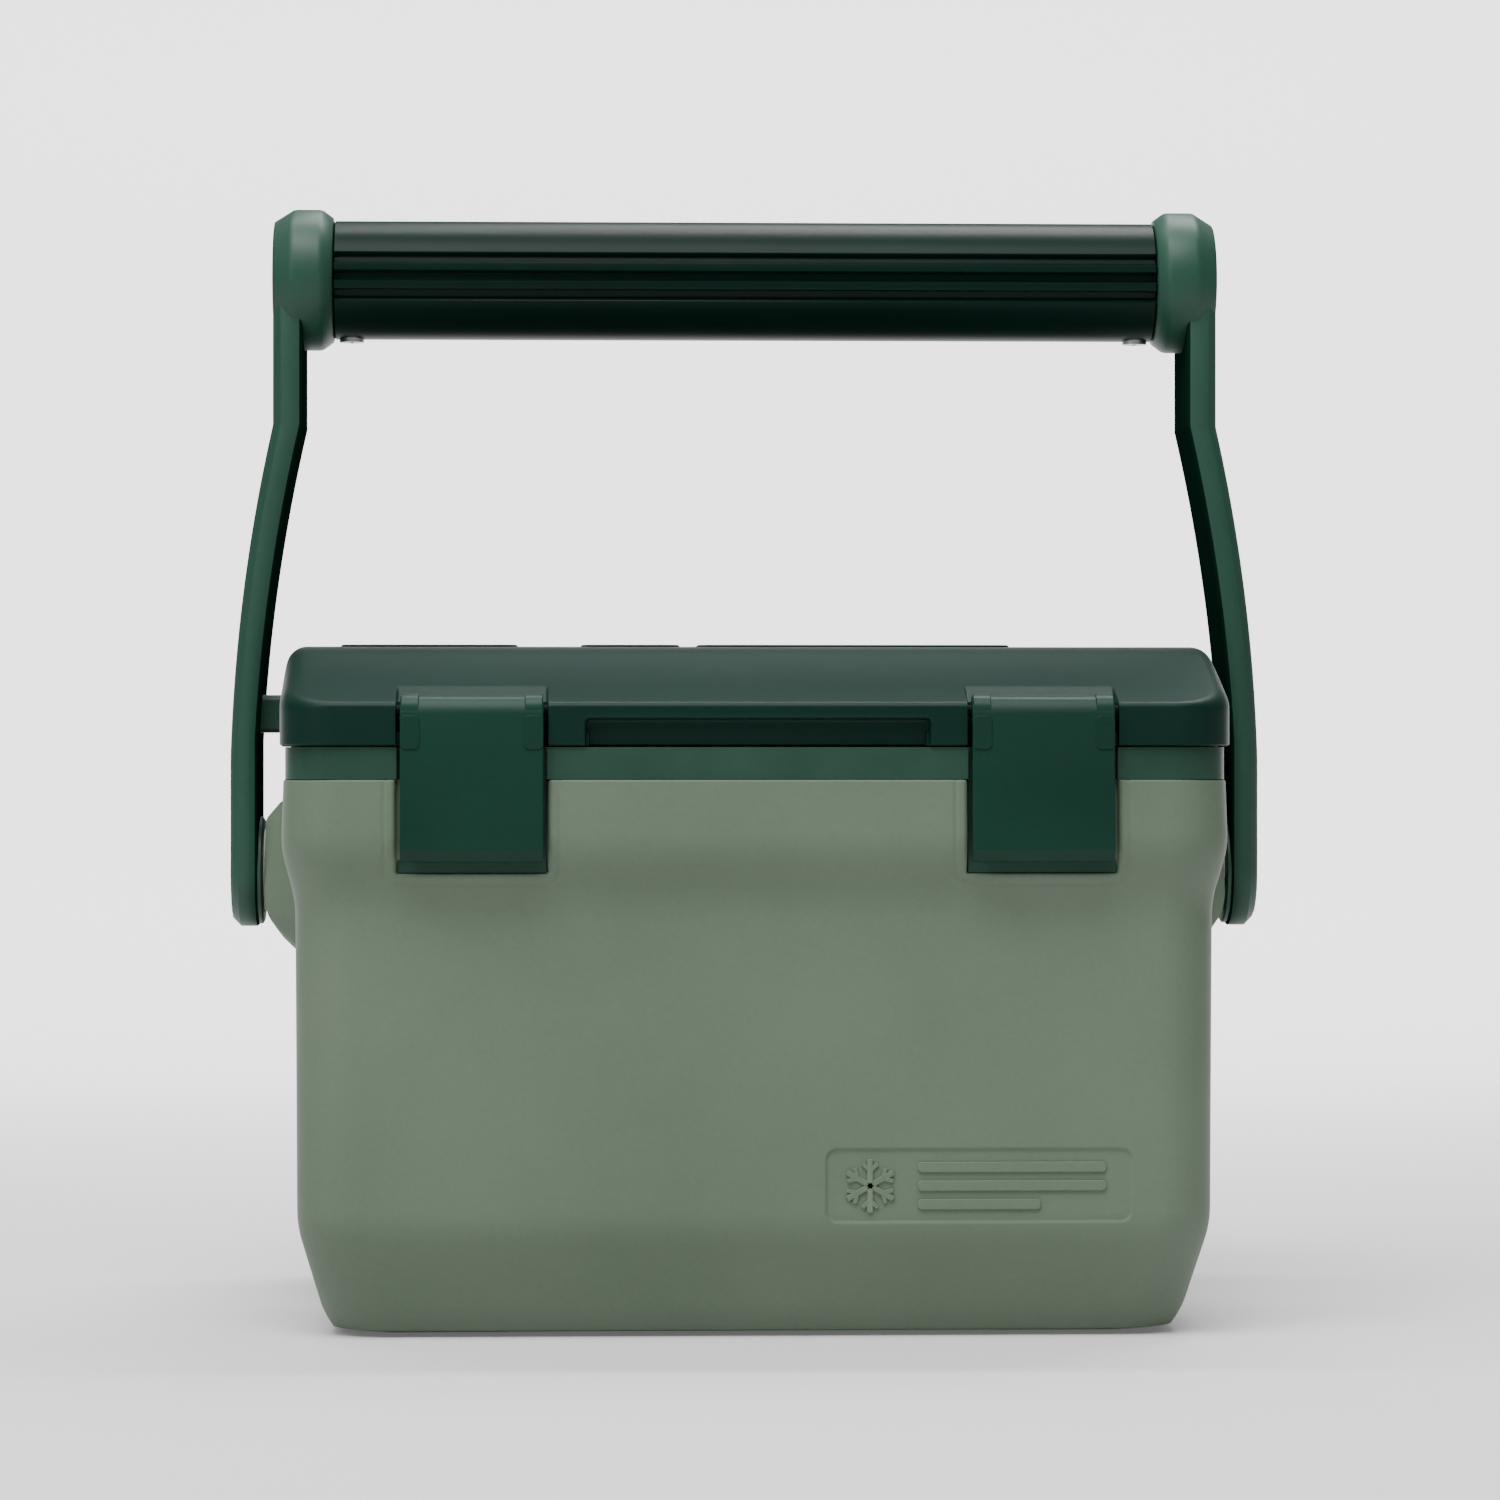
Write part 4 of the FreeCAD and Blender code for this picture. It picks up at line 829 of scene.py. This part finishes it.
def make_arm(side, tag):
    make_strap(side, tag)
    foot = [(side * x, radius) for x, radius in FOOT_STATIONS]
    cap = [(side * x, radius) for x, radius in CAP_STATIONS]
    socket = [(side * x, radius) for x, radius in SOCKET_STATIONS]
    turned(f"arm_{tag}_foot", foot, 0, PIVOT_Z, "arm", "handle")
    turned(f"arm_{tag}_cap", cap, 0, PIVOT_Z, "arm", "handle", ["pivot_cap_" + tag])
    turned(f"arm_{tag}_socket", socket, 0, GRIP_Z, "arm", "handle", crease=ARM_CREASE)
    lug = rounded_block(-7.0, 7.0, 167.0, 178.0, 2.0)
    prism(f"arm_{tag}_lug", lug, side * 131.4, side * 142.0, "x", "arm", "handle", 0.6)


def grip_radius(angle):
    """Radius of the ribbed grip round its section: three soft-edged grooves front and back."""
    height = GRIP_ROUND * math.sin(angle)
    depth = 0.0
    for row in (-1, 0, 1):
        away = abs(height - row * GROOVE_STEP) - GROOVE_HALF
        depth = max(depth, float(smoothstep(0.35, -0.3, away)))
    return GRIP_ROUND - GROOVE_DEEP * depth


def make_grip():
    angles = [2 * math.pi * step / GRIP_STEPS for step in range(GRIP_STEPS)]
    stations = [(-GRIP_HALF, -0.6), (-GRIP_HALF + 0.5, 0.0), (GRIP_HALF - 0.5, 0.0), (GRIP_HALF, -0.6)]
    rings = [[(x, grip_radius(angle) + grow, angle) for angle in angles] for x, grow in stations]
    rings += [[(x, GRIP_BORE, angle) for angle in angles] for x in (GRIP_HALF, -GRIP_HALF)]
    vertices = [(x, radius * math.cos(angle), GRIP_Z + radius * math.sin(angle))
                for ring in rings for x, radius, angle in ring]
    faces = grid_faces(len(rings), GRIP_STEPS)
    last = (len(rings) - 1) * GRIP_STEPS
    for step in range(GRIP_STEPS):
        ahead = (step + 1) % GRIP_STEPS
        faces.append((last + step, last + ahead, ahead, step))
    grip = new_mesh("grip_tube", vertices, faces, "grip", "handle", ["handle_grip"])
    outward(grip)
    grip.data.set_sharp_from_angle(angle=math.radians(50))


# --- lights and floor -----------------------------------------------------------------------------


# in metres: the sweep's floor, its wall and the wide floor round it
FLOOR_FRONT = -1.9
SWEEP_START = 1.0
SWEEP_ROUND = (1.0, 0.6)
WALL_TOP = 0.82
SWEEP_HALF = 1.7
WIDE_FLOOR = [(-7.0, -0.001), (2.0, -0.001)]
WIDE_HALF = 7.0
FLOOR_GLOW = 0.12
WALL_GLOW = 1.9
WORLD_GLOW = 0.25

# name, place, aim, size in metres, power in watts
LIGHTS = [
    ("overhead_strip", (0.0, 0.36, 1.45), (0, 0.0, 0.29), (1.5, 0.1), 16),
    ("high_front", (-0.3, -0.8, 1.7), (0, -0.05, 0.12), (1.5, 0.9), 52),
    ("left_key", (-1.3, -1.4, 1.1), (0, 0, 0.15), (0.5, 0.8), 8),
    ("rear_fill", (0.4, 1.0, 1.9), (0, 0.05, 0.1), (1.2, 0.6), 22),
]


def area_light(name, place, aim, size, power):
    data = bpy.data.lights.new(name, "AREA")
    data.shape = "RECTANGLE"
    data.size, data.size_y = size
    data.energy = power
    light = bpy.data.objects.new(name, data)
    bpy.context.scene.collection.objects.link(light)
    light.location = place
    light.rotation_euler = (Vector(aim) - Vector(place)).to_track_quat("-Z", "Y").to_euler()


def paper(name):
    """Matte white paper that glows faintly: the helper, whose material is ready to use."""
    kit = Nodes(name)
    kit.shader.inputs["Base Color"].default_value = (0.62, 0.62, 0.62, 1)
    kit.shader.inputs["Roughness"].default_value = 0.9
    kit.shader.inputs["Specular IOR Level"].default_value = 0.1
    kit.shader.inputs["Emission Color"].default_value = (1, 1, 1, 1)
    kit.shader.inputs["Emission Strength"].default_value = FLOOR_GLOW
    return kit


def stage_sheet(name, profile, half_width, material):
    """A sheet of the stage swept along X: the profile is (y, z) places in metres."""
    vertices = [(x, y, z) for y, z in profile for x in (-half_width, half_width)]
    faces = [(2 * i, 2 * i + 1, 2 * i + 3, 2 * i + 2) for i in range(len(profile) - 1)]
    mesh = bpy.data.meshes.new(name)
    mesh.from_pydata(vertices, [], faces)
    mesh.polygons.foreach_set("use_smooth", [True] * len(mesh.polygons))
    mesh.materials.append(material)
    sheet = bpy.data.objects.new(name, mesh)
    bpy.context.scene.collection.objects.link(sheet)


def make_backdrop():
    """A floor that curves up into a wall and glows more towards the back, and a wide floor round it."""
    reach, rise = SWEEP_ROUND
    profile = [(FLOOR_FRONT, 0.0), (SWEEP_START, 0.0)]
    for angle in np.linspace(0, math.pi / 2, 30)[1:]:
        profile.append((SWEEP_START + reach * math.sin(angle), rise - rise * math.cos(angle)))
    profile.append((SWEEP_START + reach, WALL_TOP))
    kit = paper("studio_paper")
    parts = kit.add("ShaderNodeSeparateXYZ")
    kit.link(kit.place, parts.inputs["Vector"])
    glow = kit.add("ShaderNodeMapRange", interpolation_type="SMOOTHSTEP")
    glow.inputs["From Min"].default_value = 0.1
    glow.inputs["From Max"].default_value = 1.5
    glow.inputs["To Min"].default_value = FLOOR_GLOW
    glow.inputs["To Max"].default_value = WALL_GLOW
    kit.link(parts.outputs["Y"], glow.inputs["Value"])
    kit.link(glow.outputs["Result"], kit.shader.inputs["Emission Strength"])
    stage_sheet("studio_sweep", profile, SWEEP_HALF, kit.material)
    stage_sheet("studio_floor", WIDE_FLOOR, WIDE_HALF, paper("floor_paper").material)


def make_studio():
    world = bpy.data.worlds.new("studio_white")
    bpy.context.scene.world = world
    world.use_nodes = True
    background = world.node_tree.nodes["Background"]
    background.inputs["Color"].default_value = (1, 1, 1, 1)
    background.inputs["Strength"].default_value = WORLD_GLOW
    for settings in LIGHTS:
        area_light(*settings)
    make_backdrop()


make_camera()
make_materials()
for entry in frame["record"]["subparts"]:
    paint(frame["nodes"][entry["node"]], entry["material_slot"])
paint(frame["nodes"]["rim_collar"], "collar")
paint(frame["nodes"]["lid_foam"], "lid")
make_body()
make_feet()
make_badge()
make_lid()
make_shadow_strips()
make_latch(1, "latch_right")
make_latch(-1, "latch_left")
make_arm(1, "right")
make_arm(-1, "left")
make_grip()
make_studio()
